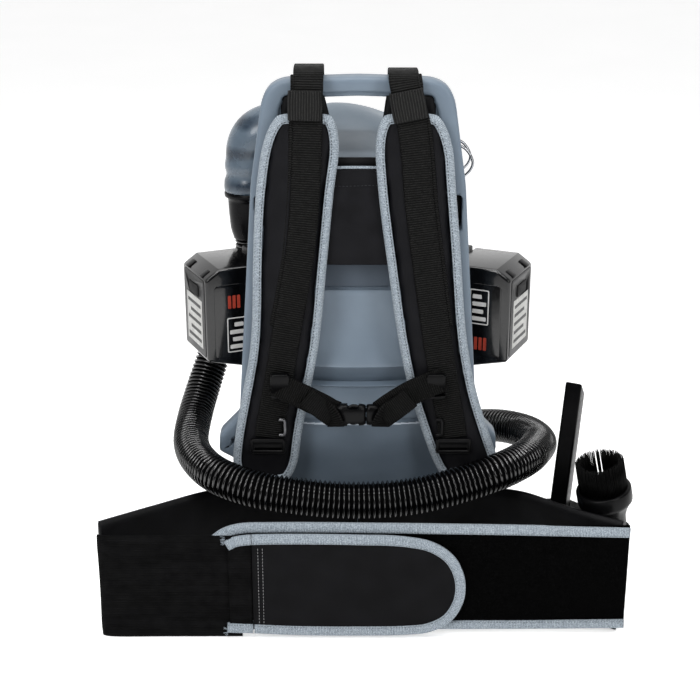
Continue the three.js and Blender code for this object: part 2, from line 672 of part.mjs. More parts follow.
function crevicePlace(geometry) {
  geometry.rotateZ(degrees(crevice.turnZ));
  geometry.rotateY(degrees(crevice.leanY));
  return geometry.translate(crevice.x, crevice.y, crevice.bottom);
}

function addTools() {
  addBrush();
  addCreviceTool();
  addToolHolder();
}

function addBrush() {
  const { collarRadius, neckRadius, neckLong, wall, crownFoot, crownTop, crownTall } = brush;
  const rim = 6;
  const body = cut(
    solid(turned([
      [0, -neckLong], [neckRadius, -neckLong], [neckRadius, -26], [collarRadius - 4, -12],
      [collarRadius, -8], [collarRadius, rim], [0, rim],
    ])),
    solid(cylinder(neckRadius - wall, -neckLong - 12, rim + 14)));
  add('brush_body', brushPlace(toGeometry(body)), looks.black);
  const tuft = turned(
    [[0, rim + GAP], [crownFoot, rim + GAP], [crownTop, crownTall], [0, crownTall]], 24);
  const crown = cut(solid(tuft), solid(cylinder(neckRadius + 0.5, 0, crownTall + 12)));
  add('brush_bristles', brushPlace(toGeometry(crown)), looks.rubber);
}

// The crevice tool's cross-section, drawn in by an inset, between two heights.
function creviceTube(inset, from, to) {
  const { wide, deep } = crevice;
  const section = roundRect(
    -wide / 2 + inset, -deep / 2 + inset, wide / 2 - inset, deep / 2 - inset, 4 - inset / 2);
  return solid(prism(section, from, to, 'z', 2));
}

function addCreviceTool() {
  const { deep, tall, wall, drop } = crevice;
  const reach = 40;
  const mouthHeight = (y) => tall - (drop * (y + deep / 2)) / deep;
  const aboveMouth = outline([
    [-reach, mouthHeight(-reach)], [-reach, tall + reach], [reach, tall + reach],
    [reach, mouthHeight(reach)],
  ]);
  const mouth = solid(prism(aboveMouth, -reach, reach, 'x'));
  const nozzle = cut(creviceTube(0, 0, tall), mouth, creviceTube(wall, -5, tall + 5));
  add('crevice_tool', crevicePlace(toGeometry(nozzle)), looks.black);
}

// Stiff webbing on the wing's outer side, with a snug hole for each tool.
function addToolHolder() {
  const { bottom, top, around, snug } = holder;
  const wing = solid(strip([...rightWing].reverse(), belt.padding + GAP, 0, belt.tall + 16));
  const neck = solid(brushPlace(cylinder(brush.neckRadius + snug, -110, 60)));
  const slot = solid(crevicePlace(toGeometry(creviceTube(-snug, -90, crevice.tall))));
  const wearerSide = solid(
    prism(outline([...rightWing, [0, -300], [300, -300], [300, -218]]), -5, 200));
  const block = solid(prism(outline(around), bottom, top));
  add('tool_holder', cut(block, wing, wearerSide, neck, slot), looks.nylon);
}

// ---------------------------------------------------------------- assembly

addBackplate();
addCanister();
addBase();
addLid();
addGasket();
addFilters();
addMotor();
addImpeller();
addElectronics();
addSwitch();
addElbow();
addHose();
for (const [side, name] of [[-1, 'left'], [1, 'right']]) {
  addLatch(side, name);
  addBattery(side, name);
  addShoulderPad(name);
  addStrap(name);
}
addBackPad();
addSternum();
addBelt();
addTools();

export default group;
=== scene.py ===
import math
import random

import bmesh
import bpy
from mathutils import Matrix, Vector, noise


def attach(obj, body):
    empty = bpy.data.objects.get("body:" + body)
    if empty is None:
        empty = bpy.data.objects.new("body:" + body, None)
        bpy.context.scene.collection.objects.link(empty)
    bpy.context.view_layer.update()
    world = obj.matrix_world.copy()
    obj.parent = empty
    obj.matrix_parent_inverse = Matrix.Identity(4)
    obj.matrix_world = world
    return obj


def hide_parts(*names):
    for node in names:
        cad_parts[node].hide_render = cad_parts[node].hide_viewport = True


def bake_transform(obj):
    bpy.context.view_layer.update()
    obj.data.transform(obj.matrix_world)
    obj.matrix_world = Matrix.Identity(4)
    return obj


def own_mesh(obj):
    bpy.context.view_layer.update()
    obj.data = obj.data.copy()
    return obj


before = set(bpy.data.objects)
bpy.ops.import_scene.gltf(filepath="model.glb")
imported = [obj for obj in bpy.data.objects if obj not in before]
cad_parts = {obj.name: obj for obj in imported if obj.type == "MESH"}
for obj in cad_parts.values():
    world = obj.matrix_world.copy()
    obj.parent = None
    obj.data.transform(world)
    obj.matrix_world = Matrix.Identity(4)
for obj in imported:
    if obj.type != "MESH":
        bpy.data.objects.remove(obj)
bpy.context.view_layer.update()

scene = bpy.context.scene
MM = 0.001
MAP = "strip"  # the name of each swept piece's map: u along it and v round it, in metres
WAVE_SCALE = math.pi / 10  # a wave texture of this scale repeats once a metre
FORWARD = Vector((0, -1, 0))
REARWARD = Vector((0, 1, 0))
LEFTWARD = Vector((-1, 0, 0))
UPWARD = Vector((0, 0, 1))


def mm(x, y, z):
    return Vector((x, y, z)) * MM


# ------------------------------------------------------------------ camera and hose route

CAMERA_PLACE = (-0.008, -1.434, 0.745)
CAMERA_TILT = 70.4  # degrees up from looking straight down


def add_camera():
    data = bpy.data.cameras.new("camera")
    data.sensor_width = 36
    data.lens = 72
    camera = bpy.data.objects.new("camera", data)
    camera.location = CAMERA_PLACE
    camera.rotation_euler = (math.radians(CAMERA_TILT), 0, 0)
    scene.collection.objects.link(camera)
    scene.camera = camera


add_camera()

HOSE_ROUTE = [
    (-0.1155, 0.060, 0.3448), (-0.1155, 0.060, 0.332), (-0.119, 0.063, 0.312),
    (-0.130, 0.064, 0.286), (-0.146, 0.060, 0.254), (-0.161, 0.046, 0.212),
    (-0.173, 0.020, 0.178), (-0.179, -0.012, 0.158), (-0.178, -0.055, 0.149),
    (-0.165, -0.098, 0.147), (-0.140, -0.138, 0.147), (-0.105, -0.158, 0.143),
    (-0.060, -0.165, 0.138), (-0.010, -0.166, 0.134), (0.050, -0.163, 0.136),
    (0.100, -0.153, 0.144), (0.140, -0.137, 0.151), (0.172, -0.102, 0.150),
    (0.190, -0.060, 0.143), (0.199, -0.022, 0.136), (0.190, 0.025, 0.128),
    (0.162, 0.064, 0.119), (0.116, 0.106, 0.098), (0.064, 0.130, 0.072),
    (0.014, 0.134, 0.048), (-0.032, 0.128, 0.028), (-0.070, 0.1205, 0.0202),
    (-0.086, 0.120, 0.020), (-0.100, 0.120, 0.020),
]
RIB_PITCH = 0.0050


# ------------------------------------------------------------------ materials

class Look:
    """A procedural material in the making: a Principled shader, and helpers that feed it."""

    def __init__(self, name):
        self.material = bpy.data.materials.new(name)
        self.material.use_nodes = True
        self.tree = self.material.node_tree
        self.shader = self.tree.nodes["Principled BSDF"]
        self.normal = None

    def node(self, kind, **values):
        made = self.tree.nodes.new(kind)
        for key, value in values.items():
            setattr(made, key, value)
        return made

    def link(self, source, target):
        self.tree.links.new(source, target)

    def place(self, mapped=False):
        """The coordinate: the piece's own metres, or its strip map."""
        if mapped:
            return self.node("ShaderNodeUVMap", uv_map=MAP).outputs["UV"]
        return self.node("ShaderNodeTexCoord").outputs["Object"]

    def noise(self, size, detail=3.0, stretch=None):
        """Noise whose lumps are about size metres across."""
        texture = self.node("ShaderNodeTexNoise")
        texture.inputs["Scale"].default_value = 1 / size
        texture.inputs["Detail"].default_value = detail
        source = self.place()
        if stretch:
            mapping = self.node("ShaderNodeMapping")
            mapping.inputs["Scale"].default_value = stretch
            self.link(source, mapping.inputs["Vector"])
            source = mapping.outputs["Vector"]
        self.link(source, texture.inputs["Vector"])
        return texture.outputs["Fac"]

    def bands(self, pitch, direction, mapped=False, wobble=0.0):
        """Parallel ridges with the given pitch in metres."""
        texture = self.node("ShaderNodeTexWave", wave_type="BANDS", bands_direction=direction)
        texture.inputs["Scale"].default_value = WAVE_SCALE / pitch
        texture.inputs["Distortion"].default_value = wobble
        texture.inputs["Detail Scale"].default_value = 2.0
        self.link(self.place(mapped), texture.inputs["Vector"])
        return texture.outputs["Fac"]

    def combine(self, first, second, operation="MULTIPLY"):
        math_node = self.node("ShaderNodeMath", operation=operation)
        self.link(first, math_node.inputs[0])
        self.link(second, math_node.inputs[1])
        return math_node.outputs[0]

    def spread(self, source, low, high, start=0.3, end=0.7):
        """Maps a texture's middle range onto low to high."""
        ramp = self.node("ShaderNodeMapRange")
        for limit, value in (("From Min", start), ("From Max", end), ("To Min", low), ("To Max", high)):
            ramp.inputs[limit].default_value = value
        self.link(source, ramp.inputs["Value"])
        return ramp.outputs["Result"]

    def colours(self, source, dark, light, start=0.3, end=0.7):
        """Base colour, from dark to light over the texture's middle range."""
        ramp = self.node("ShaderNodeValToRGB")
        for element, place, colour in zip(ramp.color_ramp.elements, (start, end), (dark, light)):
            element.position = place
            element.color = (*colour, 1)
        self.link(source, ramp.inputs["Fac"])
        self.link(ramp.outputs["Color"], self.shader.inputs["Base Color"])
        return self

    def rough(self, source, low, high):
        """Roughness, from low to high over the texture's middle range."""
        self.link(self.spread(source, low, high), self.shader.inputs["Roughness"])
        return self

    def bump(self, source, depth, strength):
        """Adds relief of the given depth in metres on top of what is there."""
        bump = self.node("ShaderNodeBump")
        bump.inputs["Strength"].default_value = strength
        bump.inputs["Distance"].default_value = depth
        self.link(source, bump.inputs["Height"])
        if self.normal:
            self.link(self.normal, bump.inputs["Normal"])
        self.normal = bump.outputs["Normal"]
        self.link(self.normal, self.shader.inputs["Normal"])
        return self

    def set(self, **values):
        """Plain values of the shader's inputs, with _ for each space in their names."""
        for name, value in values.items():
            self.shader.inputs[name.replace("_", " ")].default_value = value
        return self


def moulded(name, dark, light, rough, shine=0.4):
    """Satin moulded plastic: fine spark grain, cloudy gloss and faint scuffs."""
    look = Look(name)
    look.colours(look.noise(0.045), dark, light)
    scuffs = look.combine(look.noise(0.006, 6), look.noise(0.03, 2), "ADD")
    look.rough(look.combine(scuffs, look.noise(0.08)), *rough)
    look.bump(look.noise(0.0007, 2), 0.00018, 0.35)
    look.bump(look.noise(0.03, 1), 0.0004, 0.25)
    look.set(Specular_IOR_Level=shine)
    return look.material


def glossy(name, dark, light, coat, rough=(0.1, 0.22), shine=0.4):
    """Gloss black moulding with a clear skin, dust-fine wear and slight ripple."""
    look = Look(name)
    look.colours(look.noise(0.02), dark, light)
    look.rough(look.noise(0.004, 5), *rough)
    look.bump(look.noise(0.02, 1), 0.0003, 0.2)
    look.set(Coat_Weight=coat, Coat_Roughness=0.06, Specular_IOR_Level=shine)
    return look.material


def woven(name, dark, light, pitch=0.0006, rough=(0.45, 0.65), shine=0.09):
    """Plain-weave nylon: two crossed sets of threads, a low shine and soft creases."""
    look = Look(name)
    look.colours(look.noise(0.02, 4), dark, light)
    threads = look.combine(look.bands(pitch, "Z"), look.bands(pitch, "X"))
    look.rough(look.noise(0.01, 4), *rough)
    look.bump(threads, 0.00012, 0.7)
    look.bump(look.noise(0.018, 3), 0.0012, 0.35)
    look.set(Specular_IOR_Level=shine)
    return look.material


def ribbed_webbing(name, dark, light, shine, pitch=0.0023, across=0.0022):
    """Strap webbing: cross ribs along the strap, split by lengthways yarn lines; the rib crests are painted
    lighter, a painted highlight.
    """
    look = Look(name)
    ribs = look.bands(pitch, "X", mapped=True, wobble=0.4)
    yarns = look.bands(across, "Y", mapped=True)
    # the colour follows the ribs, lighter on their crests: painted highlight
    look.colours(look.combine(ribs, look.noise(0.0016, 4)), dark, light, 0.22, 0.62)
    look.rough(look.noise(0.006, 3), 0.42, 0.62)
    look.bump(yarns, 0.00012, 0.5)
    look.bump(ribs, 0.0006, 0.9)
    look.bump(look.noise(0.0009, 2), 0.0001, 0.5)
    look.set(Specular_IOR_Level=shine)
    return look.material


def piping_cloth(name, dark, light):
    """Grosgrain binding: short ribs across the ribbon and loose fibres."""
    look = Look(name)
    ribs = look.bands(0.0016, "X", mapped=True, wobble=1.2)
    fibres = look.spread(look.noise(0.0011, 5), 0.25, 1.0)
    look.colours(look.combine(look.spread(ribs, 0.6, 1.0, 0.0, 1.0), fibres), dark, light, 0.15, 0.95)
    look.rough(look.noise(0.004, 3), 0.6, 0.85)
    look.bump(ribs, 0.0004, 0.8)
    look.bump(look.noise(0.0012, 4), 0.0003, 0.7)
    look.set(Sheen_Weight=0.06, Sheen_Roughness=0.5, Specular_IOR_Level=0.2)
    return look.material


def elastic_cloth(name, dark, light):
    """Wide elastic: fine level cords, bunched into shallow wrinkles."""
    look = Look(name)
    wrinkles = look.noise(0.009, 4, stretch=(0.12, 1, 1.6))
    look.colours(wrinkles, dark, light, 0.4, 0.75)
    look.rough(look.noise(0.01), 0.6, 0.85)
    look.bump(wrinkles, 0.0016, 0.8)
    look.bump(look.bands(0.0019, "Z", wobble=1.5), 0.00035, 0.6)
    look.bump(look.bands(0.0009, "X"), 0.0001, 0.4)
    look.set(Specular_IOR_Level=0.06)
    return look.material


def loop_cloth(name, dark, light):
    """Brushed loop panel: a dull field of tiny curls."""
    look = Look(name)
    curls = look.noise(0.0011, 6)
    look.colours(curls, dark, light, 0.45, 0.7)
    look.rough(look.noise(0.01), 0.85, 0.98)
    look.bump(curls, 0.0008, 0.9)
    look.bump(look.noise(0.012, 3), 0.0008, 0.4)
    look.set(Specular_IOR_Level=0.02)
    return look.material


def metal(name, dark, light, rough):
    """Drawn or stamped metal with a faint uneven polish."""
    look = Look(name)
    look.colours(look.noise(0.01), dark, light)
    look.rough(look.noise(0.002, 5), *rough)
    look.bump(look.noise(0.0015, 3), 0.00005, 0.3)
    look.set(Metallic=1.0)
    return look.material


def smoky(name):
    """Thick translucent blue-grey plastic, with level bands of darker colour up its height: painted shade.
    """
    look = Look(name)
    # painted shade: level bands that darken the colour, for the shading of the wall's ridges
    levels = look.combine(look.bands(0.034, "Z", wobble=0.6), look.noise(0.02, 3), "ADD")
    look.colours(levels, (0.030, 0.047, 0.070), (0.124, 0.164, 0.208), 0.5, 1.35)
    look.rough(look.noise(0.02, 3), 0.2, 0.34)
    look.bump(look.noise(0.014, 2), 0.0005, 0.25)
    look.set(Transmission_Weight=0.3, IOR=1.42, Coat_Weight=0.15, Coat_Roughness=0.15)
    return look.material


def plain(name, dark, light, size, rough=(0.7, 0.9), relief=0.0003):
    """Thread, felt, board or print: blotches of about size metres, and a shallow relief."""
    look = Look(name)
    look.colours(look.noise(size, 5), dark, light)
    look.rough(look.noise(size * 3), *rough)
    look.bump(look.noise(size / 2, 4), relief, 0.6)
    return look.material


PLATE = moulded("plate_satin", (0.118, 0.153, 0.194), (0.138, 0.177, 0.220), (0.38, 0.52), shine=0.34)
# painted highlight: a lighter copy of the plate's plastic for the lip of the lower ledge
LIP_PAINTED_HIGHLIGHT = moulded("plate_lip_painted_highlight", (0.36, 0.41, 0.47), (0.44, 0.49, 0.55), (0.3, 0.4))
# painted shade: a darker copy of the plate's plastic for the recess under the back pad
RECESS_PAINTED_SHADE = moulded("plate_recess_painted_shade", (0.052, 0.066, 0.086), (0.066, 0.083, 0.106), (0.5, 0.65), shine=0.2)
LID = moulded("lid_satin", (0.104, 0.134, 0.164), (0.124, 0.156, 0.188), (0.34, 0.5), shine=0.36)
SHELL = moulded("shell_satin", (0.098, 0.127, 0.160), (0.115, 0.148, 0.184), (0.34, 0.48))
BLACK = moulded("black_satin", (0.0024, 0.0024, 0.0028), (0.0050, 0.0050, 0.0056), (0.3, 0.45), shine=0.2)
TOOL_GLOSS = glossy("tool_gloss", (0.0008, 0.0008, 0.0010), (0.0016, 0.0016, 0.0019), 0.0,
                    (0.3, 0.45), 0.04)
TOOL = moulded("tool_black", (0.0008, 0.0008, 0.0010), (0.0020, 0.0020, 0.0023), (0.3, 0.44), shine=0.12)
CUFF = moulded("cuff_black", (0.0014, 0.0014, 0.0019), (0.0034, 0.0034, 0.0041), (0.26, 0.38), shine=0.08)
GLOSS = glossy("battery_gloss", (0.0010, 0.0010, 0.0013), (0.0022, 0.0022, 0.0026), 0.3)
HOUSING = moulded("battery_grey", (0.0022, 0.0022, 0.0025), (0.0048, 0.0048, 0.0054), (0.26, 0.38),
                  shine=0.16)
HOSE = glossy("hose_gloss", (0.0006, 0.0006, 0.0008), (0.0014, 0.0014, 0.0017), 0.35, (0.12, 0.2), 0.5)
# painted shade: a darker, dull copy of the hose plastic for the flanks and grooves of the ribs
GROOVE = moulded("hose_groove", (0.0004, 0.0004, 0.0005), (0.0009, 0.0009, 0.0011), (0.7, 0.85), shine=0.03)
RUBBER = moulded("soft_rubber", (0.003, 0.003, 0.003), (0.007, 0.007, 0.0074), (0.6, 0.8), shine=0.2)
NYLON = woven("pad_nylon", (0.0030, 0.0030, 0.0040), (0.0058, 0.0058, 0.0072))
MESH = woven("back_nylon", (0.0030, 0.0030, 0.0038), (0.0066, 0.0066, 0.0082), 0.0008)
FLAP = woven("flap_nylon", (0.0022, 0.0022, 0.0026), (0.0042, 0.0042, 0.0050), 0.0007, shine=0.06)
WING = woven("wing_nylon", (0.0010, 0.0010, 0.0013), (0.0030, 0.0030, 0.0038), 0.0007, shine=0.14,
             rough=(0.36, 0.56))
WEBBING = ribbed_webbing("strap_webbing", (0.0004, 0.0004, 0.0004), (0.0120, 0.0120, 0.0112), 0.08)
KEEPER = ribbed_webbing("keeper_elastic", (0.0004, 0.0004, 0.0004), (0.0200, 0.0200, 0.0188), 0.18,
                        0.0026, 0.0008)
PIPING = piping_cloth("grey_piping", (0.105, 0.128, 0.152), (0.420, 0.475, 0.525))
ELASTIC = elastic_cloth("belt_elastic", (0.0005, 0.0005, 0.0006), (0.0022, 0.0022, 0.0025))
LOOP = loop_cloth("belt_loop", (0.0004, 0.0004, 0.0004), (0.0022, 0.0022, 0.0023))
# painted highlight: grey steel for the left adjuster pin, standing in for the highlight on it
CLIP_PAINTED_HIGHLIGHT = metal("clip_steel_painted_highlight", (0.06, 0.06, 0.065), (0.15, 0.15, 0.155), (0.26, 0.4))
CHROME = metal("chrome_wire", (0.26, 0.27, 0.29), (0.46, 0.47, 0.49), (0.14, 0.28))
BRASS = metal("contact_brass", (0.55, 0.38, 0.15), (0.72, 0.52, 0.24), (0.25, 0.4))
WEAVE = ribbed_webbing("sternum_weave", (0.0004, 0.0004, 0.0004), (0.0080, 0.0080, 0.0076), 0.07,
                       0.0021, 0.0021)
SMOKE = smoky("smoky_elbow")
THREAD = plain("seam_thread", (0.26, 0.26, 0.27), (0.46, 0.46, 0.47), 0.001)
DARK_THREAD = plain("dark_thread", (0.012, 0.014, 0.017), (0.035, 0.04, 0.045), 0.001)
PAPER = plain("filter_felt", (0.52, 0.50, 0.45), (0.66, 0.63, 0.57), 0.003)
BOARD = plain("board_green", (0.02, 0.09, 0.04), (0.04, 0.14, 0.07), 0.006, (0.35, 0.5))
BRISTLE = moulded("bristle_black", (0.0006, 0.0006, 0.0006), (0.0018, 0.0018, 0.0018), (0.4, 0.55),
                  shine=0.08)
LABEL = plain("blank_label", (0.38, 0.38, 0.37), (0.52, 0.52, 0.50), 0.004, (0.3, 0.5), 0.00005)
PRINT = plain("label_print", (0.58, 0.58, 0.57), (0.68, 0.68, 0.67), 0.004, (0.35, 0.5), 0.00005)
ACCENT = plain("label_accent", (0.32, 0.035, 0.02), (0.42, 0.055, 0.03), 0.004, (0.3, 0.45), 0.00005)


# ------------------------------------------------------------------ mesh helpers

def build(name, verts, faces, material, body="frame", slot=None, nodes=(), uvs=None, smooth=True):
    """One mesh object, given its material, its body and the CAD nodes it stands for; slot is not used."""
    mesh = bpy.data.meshes.new(name)
    mesh.from_pydata([tuple(v) for v in verts], [], faces)
    if uvs:
        layer = mesh.uv_layers.new(name=MAP)
        for polygon, corners in zip(mesh.polygons, uvs):
            for loop, uv in zip(polygon.loop_indices, corners):
                layer.data[loop].uv = uv
    mesh.materials.append(material)
    obj = linked(name, mesh)
    for polygon in mesh.polygons:
        polygon.use_smooth = smooth
    if body:
        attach(obj, body)
    if nodes:
        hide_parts(*nodes)
    return obj


def linked(name, mesh):
    """The mesh as an object in the scene, with its faces turned outward."""
    outward = bmesh.new()
    outward.from_mesh(mesh)
    bmesh.ops.recalc_face_normals(outward, faces=outward.faces)
    outward.to_mesh(mesh)
    outward.free()
    obj = bpy.data.objects.new(name, mesh)
    scene.collection.objects.link(obj)
    return obj


def loft_data(rings, closed=False, caps=True):
    """Vertices, faces and strip map of the skin through equal rings of points."""
    count = len(rings[0])
    verts = [p for ring in rings for p in ring]
    faces = []
    uvs = []
    along = [0.0]
    for before, after in zip(rings, rings[1:] + rings[:1]):
        middle = sum((b - a).length for a, b in zip(before, after)) / count
        along.append(along[-1] + middle)
    around = [0.0]
    widest = rings[len(rings) // 2]
    for k in range(count):
        around.append(around[-1] + (widest[(k + 1) % count] - widest[k]).length)
    for i in range(len(rings) if closed else len(rings) - 1):
        j = (i + 1) % len(rings)
        for k in range(count):
            m = (k + 1) % count
            faces.append([i * count + k, i * count + m, j * count + m, j * count + k])
            uvs.append([(along[i], around[k]), (along[i], around[k + 1]),
                        (along[i + 1], around[k + 1]), (along[i + 1], around[k])])
    if caps and not closed:
        for i in (0, len(rings) - 1):
            faces.append([i * count + k for k in range(count)])
            uvs.append([(along[i], around[k]) for k in range(count)])
    return verts, faces, uvs


def loft(name, rings, material, body="frame", slot=None, nodes=(), **options):
    """One object through rings of points; options are those of loft_data."""
    verts, faces, uvs = loft_data(rings, **options)
    return build(name, verts, faces, material, body, slot, nodes, uvs)


def merged(name, parts, material, body, slot, nodes=(), smooth=True):
    """One object from several (vertices, faces, uvs) sets."""
    verts = []
    faces = []
    uvs = []
    for part_verts, part_faces, part_uvs in parts:
        base = len(verts)
        verts += list(part_verts)
        faces += [[base + i for i in face] for face in part_faces]
        uvs += part_uvs
    return build(name, verts, faces, material, body, slot, nodes, uvs, smooth)


def smooth_line(points, per_span):
    """A centripetal curve through the points, as CAD draws its cords."""
    points = [Vector(p) for p in points]
    ends = [points[0] * 2 - points[1]] + points + [points[-1] * 2 - points[-2]]
    line = []
    for p0, p1, p2, p3 in zip(ends, ends[1:], ends[2:], ends[3:]):
        t1 = (p1 - p0).length ** 0.5
        t2 = t1 + (p2 - p1).length ** 0.5
        t3 = t2 + (p3 - p2).length ** 0.5
        for k in range(per_span):
            t = t1 + (t2 - t1) * k / per_span
            a1 = p0.lerp(p1, t / t1)
            a2 = p1.lerp(p2, (t - t1) / (t2 - t1))
            a3 = p2.lerp(p3, (t - t2) / (t3 - t2))
            b1 = a1.lerp(a2, t / t2)
            b2 = a2.lerp(a3, (t - t1) / (t3 - t1))
            line.append(b1.lerp(b2, (t - t1) / (t2 - t1)))
    line.append(points[-1])
    return line


def spaced(line, step, closed=False):
    """The line again, with points one step apart."""
    line = list(line) + ([line[0]] if closed else [])
    total = sum((b - a).length for a, b in zip(line, line[1:]))
    count = max(2, round(total / step))
    wanted = [total * k / count for k in range(count if closed else count + 1)]
    result = []
    travelled = 0.0
    index = 0
    for target in wanted:
        while index < len(line) - 2 and travelled + (line[index + 1] - line[index]).length < target:
            travelled += (line[index + 1] - line[index]).length
            index += 1
        length = (line[index + 1] - line[index]).length
        result.append(line[index].lerp(line[index + 1], min(1.0, (target - travelled) / length)))
    return result


def filleted(corners, segments=6):
    """A line of [x, z, radius] corners in the front plane, with each corner rounded."""
    points = [Vector((x, 0, z)) * MM for x, z, _ in corners]
    line = []
    for k, (_, _, radius) in enumerate(corners):
        here = points[k]
        if radius == 0 or k in (0, len(corners) - 1):
            line.append(here)
            continue
        back = (points[k - 1] - here).normalized()
        ahead = (points[k + 1] - here).normalized()
        half = back.angle(ahead) / 2
        cut = radius * MM / math.tan(half)
        for s in range(segments + 1):
            t = s / segments
            a = here + back * cut * (1 - t)
            b = here + ahead * cut * t
            line.append(a.lerp(b, t))
    return line


def travel_frames(line, up=None):
    """Point, side and up directions along a line; up is kept if given, else carried along."""
    frames = []
    side = None
    for k, p in enumerate(line):
        way = (line[min(k + 1, len(line) - 1)] - line[max(k - 1, 0)]).normalized()
        if up is not None:
            side = way.cross(up).normalized()
        else:
            side = side or way.orthogonal().normalized()
            side = (side - way * side.dot(way)).normalized()
        frames.append((p, side, side.cross(way).normalized()))
    return frames


def swept_rings(line, section, up=None):
    """Rings of a section carried along a line."""
    return [[p + side * s + above * u for s, u in section] for p, side, above in travel_frames(line, up)]


def round_section(radius, sides):
    return [(radius * math.cos(2 * math.pi * k / sides), radius * math.sin(2 * math.pi * k / sides))
            for k in range(sides)]


def flat_section(width, thick, edge=0.4, ribs=9):
    """A strap's section: flat faces of so many points, with edges softened by a share of thick."""
    half = width / 2
    front = [(-half + width * k / (ribs - 1), thick / 2) for k in range(ribs)]
    front[0] = (-half + edge * thick, thick / 2)
    front[-1] = (half - edge * thick, thick / 2)
    back = [(s, -u) for s, u in reversed(front)]
    return front + [(half, 0)] + back + [(-half, 0)]


def turned_rings(profile, middle, axis, sides=48):
    """Rings about an axis from [radius, height] in mm."""
    side = axis.orthogonal().normalized()
    above = axis.cross(side).normalized()
    rings = []
    for radius, height in profile:
        centre = middle + axis * height * MM
        rings.append([centre + (side * math.cos(a) + above * math.sin(a)) * radius * MM
                      for a in (2 * math.pi * k / sides for k in range(sides))])
    return rings


def turned_wall(name, profile, middle, material, body, nodes=(), axis=UPWARD, sides=48):
    """A black plastic wall about an axis, from a closed profile of [radius, height] in mm."""
    rings = turned_rings(profile, middle, axis, sides)
    return loft(name, rings, material, body, "black_plastic", nodes, caps=False, closed=True)


def bevelled(obj, width, segments, angle=35):
    """Rounds the piece's hard edges and applies it."""
    modifier = obj.modifiers.new("round", "BEVEL")
    modifier.width = width * MM
    modifier.segments = segments
    modifier.limit_method = "ANGLE"
    modifier.angle_limit = math.radians(angle)
    modifier.harden_normals = False
    return applied(obj)


def applied(obj):
    """Bakes the piece's modifiers into its mesh."""
    bpy.context.view_layer.update()
    graph = bpy.context.evaluated_depsgraph_get()
    mesh = bpy.data.meshes.new_from_object(obj.evaluated_get(graph), depsgraph=graph)
    obj.modifiers.clear()
    obj.data = mesh
    return obj


def subdivided(obj):
    modifier = obj.modifiers.new("smooth", "SUBSURF")
    modifier.levels = 1
    modifier.render_levels = 1
    return applied(obj)


def smooth_faces(obj):
    for polygon in obj.data.polygons:
        polygon.use_smooth = True


def prism_data(outline, depth_from, depth_to, place):
    """A flat outline of [a, b] points pushed between two depths; place turns a, b, depth to a point."""
    count = len(outline)
    verts = [place(a, b, d) for d in (depth_from, depth_to) for a, b in outline]
    faces = [list(range(count)), list(range(2 * count - 1, count - 1, -1))]
    faces += [[k, count + k, count + (k + 1) % count, (k + 1) % count] for k in range(count)]
    uvs = [[(verts[i].x + verts[i].y, verts[i].z) for i in face] for face in faces]
    return verts, faces, uvs


def prism(name, outline, depth_from, depth_to, place, material, bevel, segments=3, **given):
    verts, faces, uvs = prism_data(outline, depth_from, depth_to, place)
    obj = build(name, verts, faces, material, uvs=uvs, **given)
    return bevelled(obj, bevel, segments)


def front_place(x, z, y):
    """Stands an outline up, facing the wearer."""
    return mm(x, y, z)


def rectangle(a0, b0, a1, b1):
    return [(a0, b0), (a1, b0), (a1, b1), (a0, b1)]


def rounded_outline(a0, b0, a1, b1, radius, segments=6):
    points = []
    for ca, cb, start in ((a1, b1, 0), (a0, b1, 90), (a0, b0, 180), (a1, b0, 270)):
        centre_a = ca - math.copysign(radius, ca - (a0 + a1) / 2)
        centre_b = cb - math.copysign(radius, cb - (b0 + b1) / 2)
        for k in range(segments + 1):
            angle = math.radians(start + 90 * k / segments)
            points.append((centre_a + radius * math.cos(angle), centre_b + radius * math.sin(angle)))
    return points


def block(name, low, high, material, bevel, radius=2.0, **given):
    """A box with rounded upright corners and soft edges, between two corners in mm."""
    outline = rounded_outline(*low[:2], *high[:2], radius, 4)
    return prism(name, outline, low[2], high[2], mm, material, bevel, **given)


def cut_away(obj, verts, faces):
    """Cuts a closed skin out of one mesh."""
    mesh = bpy.data.meshes.new("cutter")
    mesh.from_pydata([tuple(v) for v in verts], [], faces)
    cutter = linked("cutter", mesh)
    modifier = obj.modifiers.new("cut", "BOOLEAN")
    modifier.operation = "DIFFERENCE"
    modifier.object = cutter
    modifier.solver = "EXACT"
    applied(obj)
    bpy.data.objects.remove(cutter, do_unlink=True)


def cut_prism(obj, outline, depth_from, depth_to, place=front_place):
    verts, faces, _ = prism_data(outline, depth_from, depth_to, place)
    cut_away(obj, verts, faces)


def cut_loft(obj, rings):
    verts, faces, _ = loft_data(rings)
    cut_away(obj, verts, faces)


def stitches(line, length, gap, size, lift):
    """Short thread runs on a front face, along a line: (vertices, faces, uvs) of one seam."""
    pitch = (length + gap) * MM
    points = spaced(line, pitch)
    parts = ([], [], [])
    for a, b in zip(points, points[1:]):
        way = (b - a).normalized()
        side = way.cross(FORWARD).normalized() * size * MM / 2
        rise = FORWARD * size * MM / 2
        start = a + way * gap * MM / 2
        end = b - way * gap * MM / 2
        base = len(parts[0])
        middle = start.lerp(end, 0.5) + rise * 0.8
        lifted = FORWARD * lift * MM
        for p, scale in ((start, 0.45), (middle, 1.0), (end, 0.45)):
            parts[0].extend(p + lifted + side * s * scale + rise * r * scale
                            for s, r in ((-1, 0), (0, 1), (1, 0), (0, -1)))
        for ring in (0, 4):
            for k in range(4):
                face = [base + ring + k, base + ring + (k + 1) % 4,
                        base + ring + 4 + (k + 1) % 4, base + ring + 4 + k]
                parts[1].append(face)
                parts[2].append([(0, 0)] * 4)
        for ring in (0, 8):
            parts[1].append([base + ring + k for k in range(4)])
            parts[2].append([(0, 0)] * 4)
    return parts


def add_seam(name, line, length, gap, size, lift, thread=DARK_THREAD, body="frame", slot="padded_nylon"):
    merged(name, [stitches(line, length, gap, size, lift)], thread, body, slot)


# ------------------------------------------------------------------ cloth

